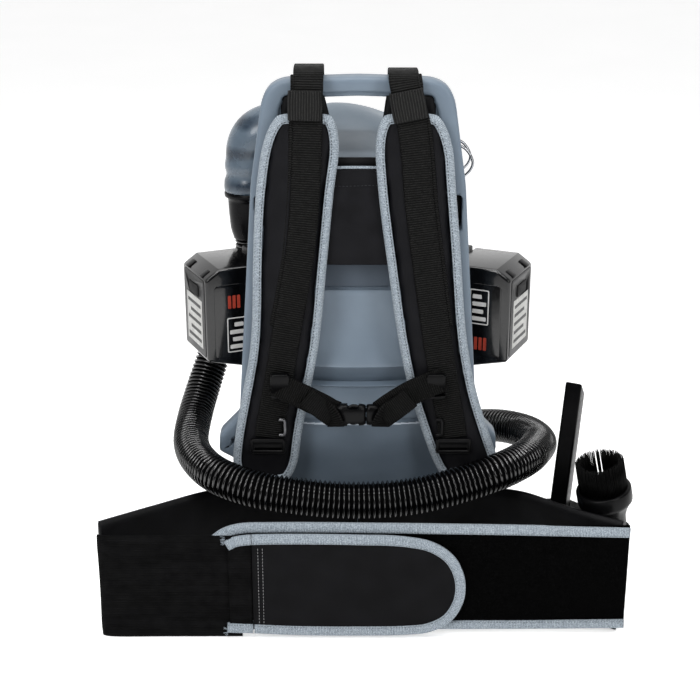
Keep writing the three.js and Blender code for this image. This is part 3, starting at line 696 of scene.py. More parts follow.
def inflated(obj, voxel=4.5, pressure=3.0, cap=3.0, frames=12):
    """Fills a sewn form with soft padding by cloth simulation; no point moves more than cap mm."""
    remesh = obj.modifiers.new("remesh", "REMESH")
    remesh.mode = "VOXEL"
    remesh.voxel_size = voxel * MM
    applied(obj)
    rest = [v.co.copy() for v in obj.data.vertices]
    cloth = obj.modifiers.new("cloth", "CLOTH")
    cloth.settings.quality = 4
    cloth.settings.use_pressure = True
    cloth.settings.uniform_pressure_force = pressure
    cloth.settings.effector_weights.gravity = 0
    cloth.settings.mass = 0.3
    cloth.point_cache.frame_start = 1
    cloth.point_cache.frame_end = frames
    for step in range(1, frames + 1):
        scene.frame_set(step)
    applied(obj)
    for vertex, start in zip(obj.data.vertices, rest):
        move = vertex.co - start
        if move.length > cap * MM:
            vertex.co = start + move.normalized() * cap * MM
    scene.frame_set(1)
    smooth_faces(obj)
    return subdivided(obj)


# ------------------------------------------------------------------ back plate

PLATE_CORNERS = [
    (-126, 12, 0), (-126, 148, 4), (-144, 158, 5), (-143, 176, 6), (-122, 198, 12), (-117, 270, 60),
    (-105, 440, 160), (-95, 508, 0), (-90, 541, 32), (0, 544, 200), (90, 541, 32), (95, 508, 0),
    (105, 440, 160), (117, 270, 60), (122, 198, 12), (143, 176, 6), (144, 158, 5), (126, 148, 4),
    (126, 12, 0),
]


PLATE_SIDE = [  # height and half width
    (12, 126), (147, 126), (158, 143), (176, 143), (198, 122), (270, 117), (440, 105), (552, 88),
]
RELIEF = [  # level and depth of the centre panel's front face, from the bottom up
    (14, -82), (110, -84), (187, -98.2), (190.4, -99.6), (191.8, -99.4), (192.6, -92.0), (230.4, -94),
    (231.4, -95.2), (232.4, -94.8), (233, -83), (250.2, -92.6), (251.6, -93.8), (331, -90.5), (334, -85),
    (440, -82), (452, -99.3), (460, -99.3),
]
HIGHLIGHT_LEDGE = (190.2, 192.0)  # the levels of the lip, whose highlight is painted on as a lighter colour
HOLLOW = (252, 336)
# above this level the panel takes the darker colour, painted shade under the back pad
PAINTED_SHADE_LEVEL = 334


def between(pairs, place):
    """The value at a place, straight between [place, value] pairs."""
    value = pairs[0][1]
    for (a, start), (b, end) in zip(pairs, pairs[1:]):
        if a <= place <= b:
            value = start + (end - start) * (place - a) / (b - a)
    return value


def eased(t):
    """0 to 1 with a soft start and end."""
    t = max(0.0, min(1.0, t))
    return t * t * (3 - 2 * t)


def panel_level(x, z):
    """The panel's levels bow down in the middle; this is the level that a point belongs to."""
    return z + 3.0 * (1 - min(1.0, abs(x) / 70) ** 2)


def relief(x, z):
    """Front face of the centre panel: a hollow for the back, a shelf and the lower ledge."""
    level = panel_level(x, z)
    depth = between(RELIEF, level)
    low, high = HOLLOW
    if low < level < high:
        hollow = 8.0 * (1 - min(1.0, abs(x) / 78) ** 3)
        depth += hollow * math.sin(math.pi * (level - low) / (high - low)) ** 0.6
    return depth


def add_backplate():
    # the rim's section as [distance in from the edge, depth]
    section = [
        (0, -77), (0, -90), (0.2, -96.5), (1.1, -98.9), (2.8, -99.8), (5, -100), (10.5, -100),
        (12, -99.6), (12.8, -98.4), (13.3, -96.6), (15.6, -96.2), (16.8, -95.2), (17.4, -92),
        (17.6, -80), (16.5, -76.8), (1.5, -76.3),
    ]
    line = spaced(filleted(PLATE_CORNERS), 4 * MM)
    rings = []
    for p, side, _ in travel_frames(line, REARWARD):
        inward = side if side.dot(mm(0, 0, 280) - p) > 0 else -side
        height = p.z / MM
        wider = 1.0 + 0.42 * eased((height - 440) / 50) - 0.34 * eased((height - 530) / 14)
        rings.append([p + inward * o * wider * MM + Vector((0, y * MM, 0)) for o, y in section])
    rails = loft("backplate_rails", rings, PLATE, slot="plate_plastic", nodes=["backplate"])
    for x, name in ((-97.2, "left"), (97.2, "right")):
        cut_prism(rails, rounded_outline(x - 4.6, 393, x + 4.6, 430, 4.5), -105, -70)
        block(f"slot_backing_{name}", (x - 6.2, -77.2, 390), (x + 6.2, -75.2, 433), BLACK, 0.5,
              slot="black_plastic")
    smooth_faces(rails)

    # the levels lie closer together where the relief has an edge
    levels = [14 + 3.5 * k for k in range(126)]
    fine = [z - 3 * k / 4 + d for z in (191.8, 232.7, 251.2, 334) for k in range(5)
            for d in (-1.2, -0.6, 0, 0.6, 1.2)]
    levels = sorted(set(levels + fine))
    panel_rings = []
    for z in levels:
        half = between(PLATE_SIDE, z) - 14
        xs = [half * math.sin(math.pi / 2 * u) for u in (k / 20 for k in range(-20, 21))]
        front = [mm(x, relief(x, z), z) for x in xs]
        back = [mm(x, -79, z) for x in reversed(xs)]
        panel_rings.append(front + back)
    panel = loft("backplate_panel", panel_rings, PLATE, slot="plate_plastic", nodes=["backplate"])
    panel.data.materials.append(LIP_PAINTED_HIGHLIGHT)
    panel.data.materials.append(RECESS_PAINTED_SHADE)
    for polygon in panel.data.polygons:
        x, y, z = (value / MM for value in polygon.center)
        level = panel_level(x, z)
        # the lip's front faces get the painted highlight
        if y < -98.5 and HIGHLIGHT_LEDGE[0] < level < HIGHLIGHT_LEDGE[1]:
            polygon.material_index = 1
        # the faces under the back pad get the painted shade
        elif level > PAINTED_SHADE_LEVEL:
            polygon.material_index = 2
    shade_by_angle(panel, 26)


# ------------------------------------------------------------------ canister and lid

CAN_HALF = 88
CAN_FRONT = -75.7
CAN_REAR = 95
CAN_CORNER = 60


def can_outline(inset):
    return rounded_outline(-CAN_HALF + inset, CAN_FRONT + inset, CAN_HALF - inset, CAN_REAR - inset,
                           CAN_CORNER - inset, 14)


def can_rings(profile):
    """The canister's outline at each [inset, height]."""
    return [[mm(x, y, z) for x, y in can_outline(inset)] for inset, z in profile]


def add_canister():
    profile = [  # inset and height
        (3, 18), (1.2, 18.8), (0.2, 21), (0, 30), (0, 128), (1.2, 129.5), (1.2, 132.5), (0, 134),
        (0, 228), (0, 400), (0, 409), (-0.6, 411), (-0.6, 425), (0, 427), (2, 428), (5, 428),
        (6, 400),
    ]
    shell = loft("canister_shell", can_rings(profile), SHELL, slot="shell_plastic", nodes=["canister_body"])
    for x in range(-42, 43, 14):
        cut_prism(shell, rounded_outline(x - 3.5, 46, x + 3.5, 116, 3.4, 3), 60, 110)
    foot = [(6, 0), (1.5, 0.2), (0.3, 1.5), (0, 4), (0, 13), (0.8, 16.5), (3, 17.7), (30, 17.7)]
    base_rings = []
    for inset, z in foot:
        outline = rounded_outline(-96 + inset, -75 + inset, 96 - inset, 97 - inset, 50 - inset, 10)
        base_rings.append([mm(x, y, z) for x, y in outline])
    loft("base_foot", base_rings, BLACK, slot="black_plastic", nodes=["canister_base"])


def add_lid():
    crest = Vector((-24, 10))
    rim = [Vector(p) for p in can_outline(0)]
    rings = can_rings([(5, 430.2), (0.6, 430.2), (-0.4, 431.2), (-0.4, 440), (0.4, 441.5), (0.6, 443),
                       (0.8, 446)])
    steps = 26
    for k in range(1, steps):
        share = 1 - (k / steps) ** 1.15
        height = 446 + 55 * (1 - share ** 1.7) ** 0.8
        rings.append([mm(*(crest + (p * 0.99 - crest) * share), height) for p in rim])
    loft("lid_shell", rings, LID, slot="plate_plastic", nodes=["lid_dome"])
    boss_profile = [(19, 0.2), (23.4, 0.2), (24, -1), (24, -6), (25.5, -8), (25.5, -34), (10, -36)]
    loft("lid_port", turned_rings(boss_profile, mm(-84.5, 60, 461), LEFTWARD), LID,
         slot="plate_plastic", nodes=["lid_dome"])
    gasket = can_rings([(4, 428.3), (0.8, 428.3), (0.2, 429), (0.8, 429.7), (4, 429.7)])
    loft("lid_gasket_ring", gasket, RUBBER, slot="rubber", nodes=["lid_gasket"])


def add_grille():
    frame_outline = rounded_outline(-56, 36, 56, 126, 9, 6)
    grille = prism("exhaust_cover", frame_outline, 95.3, 99, front_place, BLACK, 1.0,
                   slot="black_plastic", nodes=["exhaust_grille"])
    for z in range(46, 107, 12):
        cut_prism(grille, rounded_outline(-48, z, 48, z + 6, 2.9, 3), 90, 105)
    bevelled(grille, 0.4, 2, 50)
    housing = block("switch_frame", (88.3, -12, 180), (98.3, 32, 212), BLACK, 1.2, 2,
                    slot="black_plastic", nodes=["switch_housing"])
    cut_prism(housing, rectangle(91.3, -4, 110, 24), 186, 206, mm)
    side = [(93.3, 187.8), (93.3, 204.2), (98.3, 204.2), (97.2, 199), (96.8, 196), (97.8, 192),
            (100.2, 187.8)]
    prism("switch_paddle", side, -3.4, 23.4, front_place, RUBBER, 0.5, body="switch", slot="rubber",
          nodes=["switch_rocker"])


# ------------------------------------------------------------------ elbow, cuff and hose

DROP = mm(-115.5, 60, 0)  # the upright axis of the elbow's lower leg, the cuff and the hose's start
PORT_LEVEL = 434.5
BEND = 29


def add_elbow():
    """The smoky bend: a thick-walled tube with bulges, and a dark sleeve seen through it."""
    centre = DROP + mm(BEND, 0, PORT_LEVEL)
    line = [mm(-85, 60, PORT_LEVEL + BEND)]
    for k in range(15):
        angle = math.radians(90 + 90 * k / 14)
        line.append(centre + Vector((math.cos(angle), 0, math.sin(angle))) * BEND * MM)
    line += [DROP + mm(0, 0, z) for z in (*range(431, 400, -3), 398.5)]
    radii = [28.5, 28.5, 28.6, 28.8, 29, 29, 29, 29, 28.9, 28.6, 28.2, 27.8, 27.4, 27.0, 26.6, 26.4,
             27.2, 27.8, 27.9, 27.4, 26.6, 26.5, 27.4, 28.6, 29.0, 29.2, 29.1, 28.8]

    def skin(inset):
        return [[p + (side * s + above * u) * (r - inset) * MM for s, u in round_section(1, 40)]
                for (p, side, above), r in zip(travel_frames(line, REARWARD), radii)]

    loft("elbow_shell", skin(0) + skin(3.5)[::-1], SMOKE, "elbow", "smoke_plastic", ["elbow"],
         caps=False, closed=True)
    sleeve = [(17.5, 399), (21.4, 399), (22, 402), (22, 430), (20.8, 434), (17.5, 434)]
    turned_wall("elbow_sleeve", sleeve, DROP, CUFF, "elbow", sides=40)


def add_cuff():
    outside = [
        (28.0, 398.2), (28.9, 397.4), (29.2, 395.6), (29.0, 392.6), (27.4, 391.4), (25.6, 390.6),
        (25.3, 387), (24.6, 372), (23.4, 358), (21.8, 351), (20.6, 347.5), (20.2, 345.6),
    ]
    inside = [(17, 345.6), (17, 398.2)]
    turned_wall("hose_cuff_sleeve", outside + inside, DROP, CUFF, "hose_cuff", ["hose_cuff"])


def dull_grooves(hose, levels, sides):
    """Only the crown of each rib is polished; its flanks and the groove stay dull, and a little darker as
    painted shade.
    """
    hose.data.materials.append(GROOVE)
    for polygon in hose.data.polygons:
        level = polygon.index // sides % levels
        if level not in (2, 3, 4, 5):
            polygon.material_index = 1


def add_hose():
    line = smooth_line(HOSE_ROUTE, 16)
    # one rib as [share of the pitch, radius]
    profile = [(0.0, 15.9), (0.14, 15.9), (0.27, 17.9), (0.40, 18.9), (0.50, 19.0), (0.60, 18.9),
               (0.73, 17.9), (0.86, 15.9)]
    sides = 28
    ribs = round(sum((b - a).length for a, b in zip(line, line[1:])) / RIB_PITCH)
    fine = spaced(line, RIB_PITCH / 20)
    last = len(fine) - 1
    places = [min(last, round(last * (k + share) / ribs)) for k in range(ribs) for share, _ in profile]
    radii = [r for _ in range(ribs) for _, r in profile]
    frames = travel_frames(fine)
    rings = []
    for index, radius in zip(places, radii):
        p, side, above = frames[index]
        rings.append([p + (side * s + above * u) * radius * MM for s, u in round_section(1, sides)])
    hose = loft("hose_tube", rings, HOSE, None, "gloss_black", ["hose"])
    dull_grooves(hose, len(profile), sides)
    end = [(16, 0), (16, 69), (17, 70), (19.2, 70), (20, 69), (20, 52), (18.6, 50), (18.6, 12), (20, 10),
           (20, 1), (19.4, 0)]
    turned_wall("hose_end_sleeve", end, mm(-100.3, 120, 20), CUFF, "frame", ["hose_end_cuff"], LEFTWARD, 40)
    [tuple(p) for p in spaced(line, 0.006)]
    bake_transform(hose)


# ------------------------------------------------------------------ latches

def add_latch(side, name):
    near, far, x, low, hook = -6, 26, 94, 424, 464
    bulge = 25 if side > 0 else 10
    arm = [(x, low), (x + bulge * 0.7, low + 5), (x + bulge, low + 17), (x + bulge * 0.7, hook - 8)]
    route = [(x, near + 4, low)] + [(a, near, b) for a, b in arm]
    route += [(x, near + 2, hook), (x - 1, 10, hook + 1), (x, far - 2, hook)]
    route += [(a, far, b) for a, b in reversed(arm)] + [(x, far - 4, low)]
    line = spaced(smooth_line([mm(side * a, b, c) for a, b, c in route], 8), 1.5 * MM)
    loft(f"latch_wire_{name}", swept_rings(line, round_section(1.5 * MM, 12)), CHROME,
         f"{name}_latch", "wire", [f"latch_bail_{name}"])
    xs = sorted((side * 88.3, side * 98))
    block(f"latch_mount_{name}", (xs[0], 0, 412), (xs[1], 20, 427), BLACK, 1.2, 1.5,
          slot="black_plastic", nodes=[f"latch_bracket_{name}"])
    xs = sorted((side * 84, side * 97))
    block(f"latch_hook_{name}", (xs[0], 1, 450), (xs[1], 19, 462.2), BLACK, 1.2, 1.5,
          slot="black_plastic", nodes=[f"latch_lug_{name}"])


# ------------------------------------------------------------------ batteries

BATTERY_MIDDLE = (141.3, -16.6)
BATTERY_FOOT = 233
BATTERY_TURN = -24.5  # degrees about the upright, for the right-hand battery; the left mirrors it


def battery_place(side):
    """Turns the battery's own mm (out, to the rear, up) into the row frame."""
    turn = Matrix.Rotation(math.radians(BATTERY_TURN), 4, "Z")

    def place(out, back, up):
        p = turn @ Vector((out, back, 0)) + Vector((*BATTERY_MIDDLE, BATTERY_FOOT + up))
        return mm(side * p.x, p.y, p.z)
    return place


def add_battery(side, name):
    place = battery_place(side)
    body = f"{name}_battery"

    def out_up(a, b, d):
        return place(a, d, b)

    def back_up(a, b, d):
        return place(d, a, b)

    profile = [(-32.5, 0), (-8, 0), (32.5, 10), (32.5, 99), (17.5, 109), (-32.5, 109)]
    case = prism(f"battery_case_{name}", profile, -37.5, 37.5, out_up, GLOSS, 3.4, 4, body=body,
                 slot="gloss_black", nodes=[f"battery_{name}"])
    cut_prism(case, rectangle(-40, -17, -23.5, 17), -5, 92, place)
    cut_prism(case, rectangle(23.5, -14.5, 40, 14.5), 75.5, 88.5, place)
    shade_by_angle(case)
    # the grey outer face, over the gloss case
    face = rounded_outline(-32.5, 13, 32.5, 97, 4, 4)
    panel = prism(f"battery_face_{name}", face, 31.6, 33.1, back_up, HOUSING, 0.7, 3, body=body,
                  slot="gloss_black")
    cut_prism(panel, rectangle(-14.5, 74.5, 14.5, 87.5), 20, 40, back_up)

    def on_slope(a, b, d):
        """The slanting shoulder of the case, up from its outer edge."""
        return place(32.6 - 1.5 * (b - 99) + d * 0.6, a, b + d * 0.8)

    for end, low, high in (("front", -26, -17), ("rear", 17, 26)):
        prism(f"battery_catch_{end}_{name}", rectangle(low, 99, high, 105), -0.6, 1.1, on_slope, HOUSING,
              0.5, 2, body=body, slot="gloss_black")
    prism(f"battery_label_{name}", rectangle(-24, 21, 24, 73), 33.0, 33.35, back_up, LABEL, 0.1, 1,
          body=body, slot="gloss_black")
    rows = []
    for k in range(5):
        wide = 40 - 8 * (k % 2)
        low = 26 + 9.4 * k
        rows.append(prism_data(rectangle(-20, low, -20 + wide, low + 3.6), 33.3, 33.5, back_up))
    merged(f"battery_label_bars_{name}", rows, HOUSING, body, "gloss_black", smooth=False)
    # the raised front panel and its plain print
    prism(f"battery_front_{name}", rounded_outline(-26, 12, 24, 92, 5, 5), -38.1, -37.2, out_up, GLOSS,
          0.4, 2, body=body, slot="gloss_black")
    print_foot, gauge_foot = (18, 66) if side < 0 else (48, 20)
    frame_outer = rounded_outline(-10, print_foot, 11, print_foot + 38, 1.5, 2)
    frame_inner = rounded_outline(-8.8, print_foot + 1.2, 9.8, print_foot + 36.8, 1, 2)
    ring = prism_ring(frame_outer, frame_inner, -38.3, -38.0, out_up)
    bars = [prism_data(rounded_outline(-7, print_foot + 4 + 8 * k, -7 + wide, print_foot + 8.4 + 8 * k,
                                       0.6, 1), -38.3, -38.0, out_up)
            for k, wide in enumerate((15, 12, 15, 10))]
    merged(f"battery_print_{name}", [ring] + bars, PRINT, body, "gloss_black", smooth=False)
    gauge = [prism_data(rounded_outline(-4 + 5 * k, gauge_foot, -0.6 + 5 * k, gauge_foot + 14, 0.8, 2),
                        -38.3, -38.0, out_up) for k in range(3)]
    merged(f"battery_gauge_{name}", gauge, ACCENT, body, "gloss_black", smooth=False)
    prism(f"battery_release_{name}", rounded_outline(-14, 75, 14, 87, 2.5, 4), 27.1, 34, back_up, RUBBER,
          0.8, 3, body=f"{name}_battery_button", slot="rubber", nodes=[f"battery_button_{name}"])
    dock = [(-33.1, -35.5), (-33.1, 33.5), (-58, 33.5), (-50, -35.5)]
    prism(f"dock_block_{name}", dock, -8, 112, place, BLACK, 2.0, 3, slot="black_plastic",
          nodes=[f"battery_dock_{name}"])
    prism(f"dock_rail_{name}", rectangle(-34.5, -16.4, -24.1, 16.4), 6, 89.5, place, BLACK, 1.0, 3,
          slot="black_plastic", nodes=[f"battery_dock_{name}"])


def prism_ring(outer, inner, depth_from, depth_to, place):
    """A flat frame between two outlines with equal numbers of points."""
    count = len(outer)
    verts = [place(a, b, d) for d in (depth_from, depth_to) for shape in (outer, inner) for a, b in shape]
    faces = []
    for k in range(count):
        m = (k + 1) % count
        faces.append([k, m, count + m, count + k])
        faces.append([2 * count + k, 3 * count + k, 3 * count + m, 2 * count + m])
        faces.append([k, 2 * count + k, 2 * count + m, m])
        faces.append([count + k, count + m, 3 * count + m, 3 * count + k])
    return verts, faces, [[(0, 0)] * 4 for _ in faces]


def shade_by_angle(obj, degrees=32):
    """Smooth faces with crisp edges, kept in the mesh."""
    edges = bmesh.new()
    edges.from_mesh(obj.data)
    for edge in edges.edges:
        sharp = len(edge.link_faces) == 2 and edge.calc_face_angle(0) > math.radians(degrees)
        edge.smooth = not sharp
    for face in edges.faces:
        face.smooth = True
    edges.to_mesh(obj.data)
    edges.free()


# ------------------------------------------------------------------ harness

PAD_LINES = {
    "left": [(-50, 520), (-55, 480), (-61.6, 432), (-67, 364), (-71, 303), (-75.5, 266), (-91.5, 182),
             (-98.5, 120)],
    "right": [(49, 520), (53, 480), (57.3, 432), (65, 364), (72, 303), (78, 266), (87, 226), (101, 182),
              (112, 150), (119, 120)],
}
STRAPS = {
    "left": [(-47, 560), (-48, 505), (-51.5, 430), (-57, 374), (-71.5, 292), (-80.5, 239), (-91, 182),
             (-98, 50)],
    "right": [(42, 560), (45, 530), (51, 500), (55, 470), (58.5, 430), (66, 374), (78, 292), (87, 239),
              (97, 182), (108, 50)],
}
STRAP_WIDTH = 28.5
PAD_TOP = 513
PAD_BOTTOM = 128
PAD_BACK = -107.5


def strap_middle(name, z, lines=STRAPS):
    """Where the middle of a strap or pad is at a height: a smooth curve through its [x, z] points."""
    points = [Vector((x, 0, level)) for x, level in lines[name]]
    for k in range(1, len(points)):
        a, b = points[k - 1], points[k]
        if z >= b.z:
            before = points[max(0, k - 2)]
            after = points[min(len(points) - 1, k + 1)]
            slope_a = (b.x - before.x) / (before.z - b.z)
            slope_b = (after.x - a.x) / (a.z - after.z)
            span = a.z - b.z
            t = (a.z - z) / span
            bend = slope_a * t * (1 - t) ** 2 - slope_b * t * t * (1 - t)
            return a.x + (b.x - a.x) * t * t * (3 - 2 * t) + span * bend
    return points[-1].x


def pad_half(z):
    """Half the pad's width at a height: wider towards the shoulder, and rounded at both ends."""
    from_top = max(0.0, min(1.0, (PAD_TOP - z) / 48))
    from_bottom = max(0.0, min(1.0, (z - PAD_BOTTOM) / 34))
    width = 33.2 + 3.6 * eased((z - 250) / 190)
    top_share = 0.47 + 0.53 * math.sqrt(1 - (1 - from_top) ** 2)
    bottom_share = 0.50 + 0.50 * math.sqrt(1 - (1 - from_bottom) ** 2)
    return width * top_share * bottom_share


def add_shoulder_pad(name):
    levels = [PAD_BOTTOM + 2 + (PAD_TOP - PAD_BOTTOM - 4) * k / 62 for k in range(63)]
    rings = []
    for z in levels:
        half = pad_half(z) - 3.0
        middle = strap_middle(name, z, PAD_LINES)
        end = min(1.0, min(z - PAD_BOTTOM, PAD_TOP - z) / 12 + 0.35)
        us = [math.sin(math.pi / 2 * k / 8) for k in range(-8, 9)]
        crown = [(u, 3.0 + 5.2 * (1 - abs(u) ** 2.2) * end) for u in us]
        front = [mm(middle + u * half, PAD_BACK - t, z) for u, t in crown]
        back = [mm(middle + u * half, PAD_BACK, z) for u in reversed(us)]
        rings.append(front + back)
    pad = loft(f"pad_{name}", rings, NYLON, "frame", "padded_nylon", [f"shoulder_pad_{name}"])
    inflated(pad)

    edge = []
    for side, heights in ((-1, levels), (1, levels[::-1])):
        edge += [mm(strap_middle(name, z, PAD_LINES) + side * pad_half(z), PAD_BACK - 2.8, z)
                 for z in heights]
    line = spaced(smoothed(edge, 2), 3.0 * MM, closed=True)
    section = [
        (-0.8, 0.0), (-0.6, -2.6), (0.8, -4.6), (3.0, -5.6), (5.6, -5.9), (7.4, -5.6), (8.0, -4.8),
        (7.8, -2.5), (7.0, 0.5), (5.4, 2.6), (2.3, 2.7), (0, 2.2),
    ]
    rings = []
    seam = []
    for k, p in enumerate(line):
        way = (line[(k + 1) % len(line)] - line[k - 1]).normalized()
        inward = way.cross(REARWARD)
        if inward.dot(closest_middle(name, p) - p) < 0:
            inward = -inward
        rings.append([p + inward * s * MM + mm(0, u, 0) for s, u in section])
        seam.append(p + inward * 6.1 * MM + mm(0, -5.8, 0))
    loft(f"pad_piping_{name}", rings, PIPING, "frame", "padded_nylon", closed=True, caps=False)
    add_seam(f"pad_stitches_{name}", seam + seam[:1], 2.0, 1.2, 0.8, 0.1)


def closest_middle(name, p):
    z = max(PAD_BOTTOM + 24, min(PAD_TOP - 30, p.z / MM))
    return mm(strap_middle(name, z, PAD_LINES), p.y / MM, z)


def smoothed(points, times):
    """Rounds a closed line by cutting its corners."""
    for _ in range(times):
        rounder = []
        for k, p in enumerate(points):
            after = points[(k + 1) % len(points)]
            rounder += [p.lerp(after, 0.25), p.lerp(after, 0.75)]
        points = rounder
    return points


def ribbon(name, points, width, thick, material, up, body="frame", nodes=()):
    """Flat webbing along a smooth line in mm; up is the direction its face looks."""
    line = spaced(smooth_line([mm(*p) for p in points], 10), 2.5 * MM)
    rings = swept_rings(line, flat_section(width * MM, thick * MM), Vector(up))
    return loft(name, rings, material, body, "nylon_webbing", nodes)


def hung_ribbon(name, points, thick, nodes=()):
    """Strap webbing whose width stays level, along a line in mm."""
    line = spaced(smooth_line([mm(*p) for p in points], 10), 2.2 * MM)
    section = flat_section(STRAP_WIDTH * MM, thick * MM)
    rings = []
    for k, p in enumerate(line):
        way = (line[min(k + 1, len(line) - 1)] - line[max(k - 1, 0)]).normalized()
        across = (Vector((1, 0, 0)) - way * way.x).normalized()
        above = across.cross(way).normalized()
        rings.append([p + across * s + above * u for s, u in section])
    loft(name, rings, WEBBING, "frame", "nylon_webbing", nodes)


def add_strap_webbing(name):
    """The main webbing: up the pad, over the bar and down behind it, with a second layer below."""
    front = PAD_BACK - 12.2
    heights = [182, 200, 230, 262, 295, 330, 365, 400, 435, 470, 500, 520, 532]
    route = [(strap_middle(name, z), front + 0.25 * math.sin(z / 24), z) for z in heights]
    x = strap_middle(name, 555)
    lift = 3.5 if name == "left" else 0.0
    route += [(x, -114.5, 543.5 + lift), (x, -104, 549.2 + lift), (x, -90, 549.8 + lift),
              (x, -76, 548.2 + lift), (x, -69.5, 542), (x, -68.5, 530), (x, -69, 512), (x, -69, 500)]
    hung_ribbon(f"webbing_{name}", route, 1.9, [f"shoulder_webbing_{name}"])
    side = -1 if name == "left" else 1
    below = [(strap_middle(name, z) + side * 3.5, front + 2.0, z) for z in (300, 340, 380, 420, 460, 499)]
    below += [(strap_middle(name, 530) + side * 2.5, front + 2.2, 526),
              (strap_middle(name, 540) + side * 2.5, -112, 540), (x + side * 3, -103, 546.6)]
    hung_ribbon(f"webbing_under_{name}", below, 1.6)


def add_keeper(name):
    """The elastic loop that gathers the strap under the handle."""
    x = strap_middle(name, 520) - (3.0 if name == "left" else 0.0)
    front = PAD_BACK - 15.6
    outline = rounded_outline(x - 15.8, front, x + 15.8, PAD_BACK - 8.0, 3.2, 5)
    section = [Vector((a, b)) for a, b in outline]
    lean = (strap_middle(name, 534) - strap_middle(name, 506)) / 28
    steps = 14
    rings = []
    for k in range(steps + 1):
        z = 506.5 + 27.5 * k / steps
        swell = 0.5 * math.sin(math.pi * k / steps)
        rings.append([mm(p.x + lean * (z - 520) + math.copysign(swell, p.x - x), p.y - swell * 0.6,
                         z - lean * (p.x - x)) for p in section])
    verts, faces, uvs = loft_data(rings)
    turned = [[(v, u) for u, v in corners] for corners in uvs]
    build(f"keeper_{name}", verts, faces, KEEPER, "frame", "nylon_webbing", [f"strap_keeper_{name}"],
          turned)


def add_ladder_lock(name):
    """The adjuster at the lower end of the strap, its pin and its anchor webbing; the left pin is grey
    steel as a painted highlight, the right one black.
    """
    x = strap_middle(name, 176)
    front = PAD_BACK - 16.5
    outline = rounded_outline(x - 18, 166, x + 18, 182, 3, 4)
    lock = prism(f"adjuster_{name}", outline, front, front + 4.6, front_place, TOOL, 1.2,
                 slot="black_plastic", nodes=[f"ladder_lock_{name}"])
    cut_prism(lock, rounded_outline(x - 14, 170, x + 14, 173, 1, 2), -140, -100)
    # the left pin is grey steel as a painted highlight; the right one is black
    clip_x, look = (x + 15, CLIP_PAINTED_HIGHLIGHT) if name == "left" else (x - 15, TOOL)
    bar = smooth_line([mm(clip_x - 3.5, front + 1.6, 186.5), mm(clip_x + 1.8, front + 1.2, 187.2),
                       mm(clip_x + 2.6, front + 1.2, 196), mm(clip_x + 1.8, front + 1.2, 202.5),
                       mm(clip_x - 3.5, front + 1.6, 203)], 8)
    loft(f"adjuster_pin_{name}", swept_rings(bar, round_section(1.8 * MM, 12)), look, "frame", "wire")
    line = [(strap_middle(name, 150), -104.6, 150), (strap_middle(name, 130), -104.8, 120),
            (strap_middle(name, 128), -104.6, 88), (strap_middle(name, 128), -104.2, 56)]
    ribbon(f"anchor_webbing_{name}", line, 25, 1.8, WEBBING, REARWARD, nodes=[f"lower_webbing_{name}"])


def add_anchor_cloth(name):
    """Cloth that spreads from the handle bar down behind the pad; its outer part is a dark sheet that fills
    the opening's corner as painted shade.
    """
    side = -1 if name == "left" else 1
    reach, spread = (15, 14) if name == "left" else (19, 18)
    top, tall = 526, 66
    steps = 18
    rows = []
    for k in range(steps + 1):
        t = k / steps
        z = top - tall * t
        x = strap_middle(name, z)
        inner = x - side * (reach + spread * min(1.0, t * 1.3))
        # the outer part reaches behind the rail, a dark sheet standing in for the shade in the corner
        outer = side * (73 + 9 * t)
        y = -97 + 3 * t
        across = [inner + (outer - inner) * j / 10 for j in range(11)]
        sag = [0.9 * math.sin(math.pi * j / 10 * 3) for j in range(11)]
        rows.append([mm(a, y - w, z) for a, w in zip(across, sag)]
                    + [mm(a, y + 2.0, z) for a in reversed(across)])
    cloth = loft(f"anchor_cloth_{name}", rows, WING, "frame", "nylon_webbing")


def add_back_pad():
    low, tall = 360, 97
    rings = []
    us = [k / 14 for k in range(-14, 15)]
    for z in (low + tall * k / 34 for k in range(35)):
        half = 60 + 4 * math.sin(math.pi * (z - low) / (tall + 4))
        puff = 2.2 + 3.2 * math.sin(math.pi * min(1, max(0, (z - 358) / 84))) ** 0.6
        hem = 1.6 * eased((z - 439.5) / 2.5)
        front = []
        for u in us:
            fold = 1.9 * math.exp(-((u * 60 - 2 - (440 - z) * 0.10) / 5.0) ** 2) * eased((440 - z) / 12)
            fold *= eased((z - 380) / 60)
            thick = (puff + hem) * (1 - abs(u) ** 4) + 0.6 + fold
            front.append(mm(u * half, -101.0 - thick, z))
        back = [mm(u * half, -100.6, z) for u in reversed(us)]
        rings.append(front + back)
    pad = loft("back_cushion", rings, MESH, "frame", "padded_nylon", ["back_pad"])
    subdivided(pad)
    prism("back_cushion_flange", rectangle(-64, 452, 64, 467), -99.4, -97.6, front_place, WING, 0.6, 2,
          slot="padded_nylon")
    trim = [mm(x, -104.2, 457.5 + 0.8 * math.cos(x / 30)) for x in range(-62, 63, 4)]
    section = [(s * 1.5 * MM, u * 1.4 * MM) for s, u in round_section(1, 12)]
    loft("back_cushion_piping", swept_rings(trim, section, UPWARD), PIPING, "frame", "padded_nylon")
    seam = [mm(x, -105.4, 440.5 + 0.4 * math.sin(x / 9)) for x in range(-56, 57, 4)]
    add_seam("back_cushion_seam", seam, 2.2, 1.4, 0.5, 0.3)


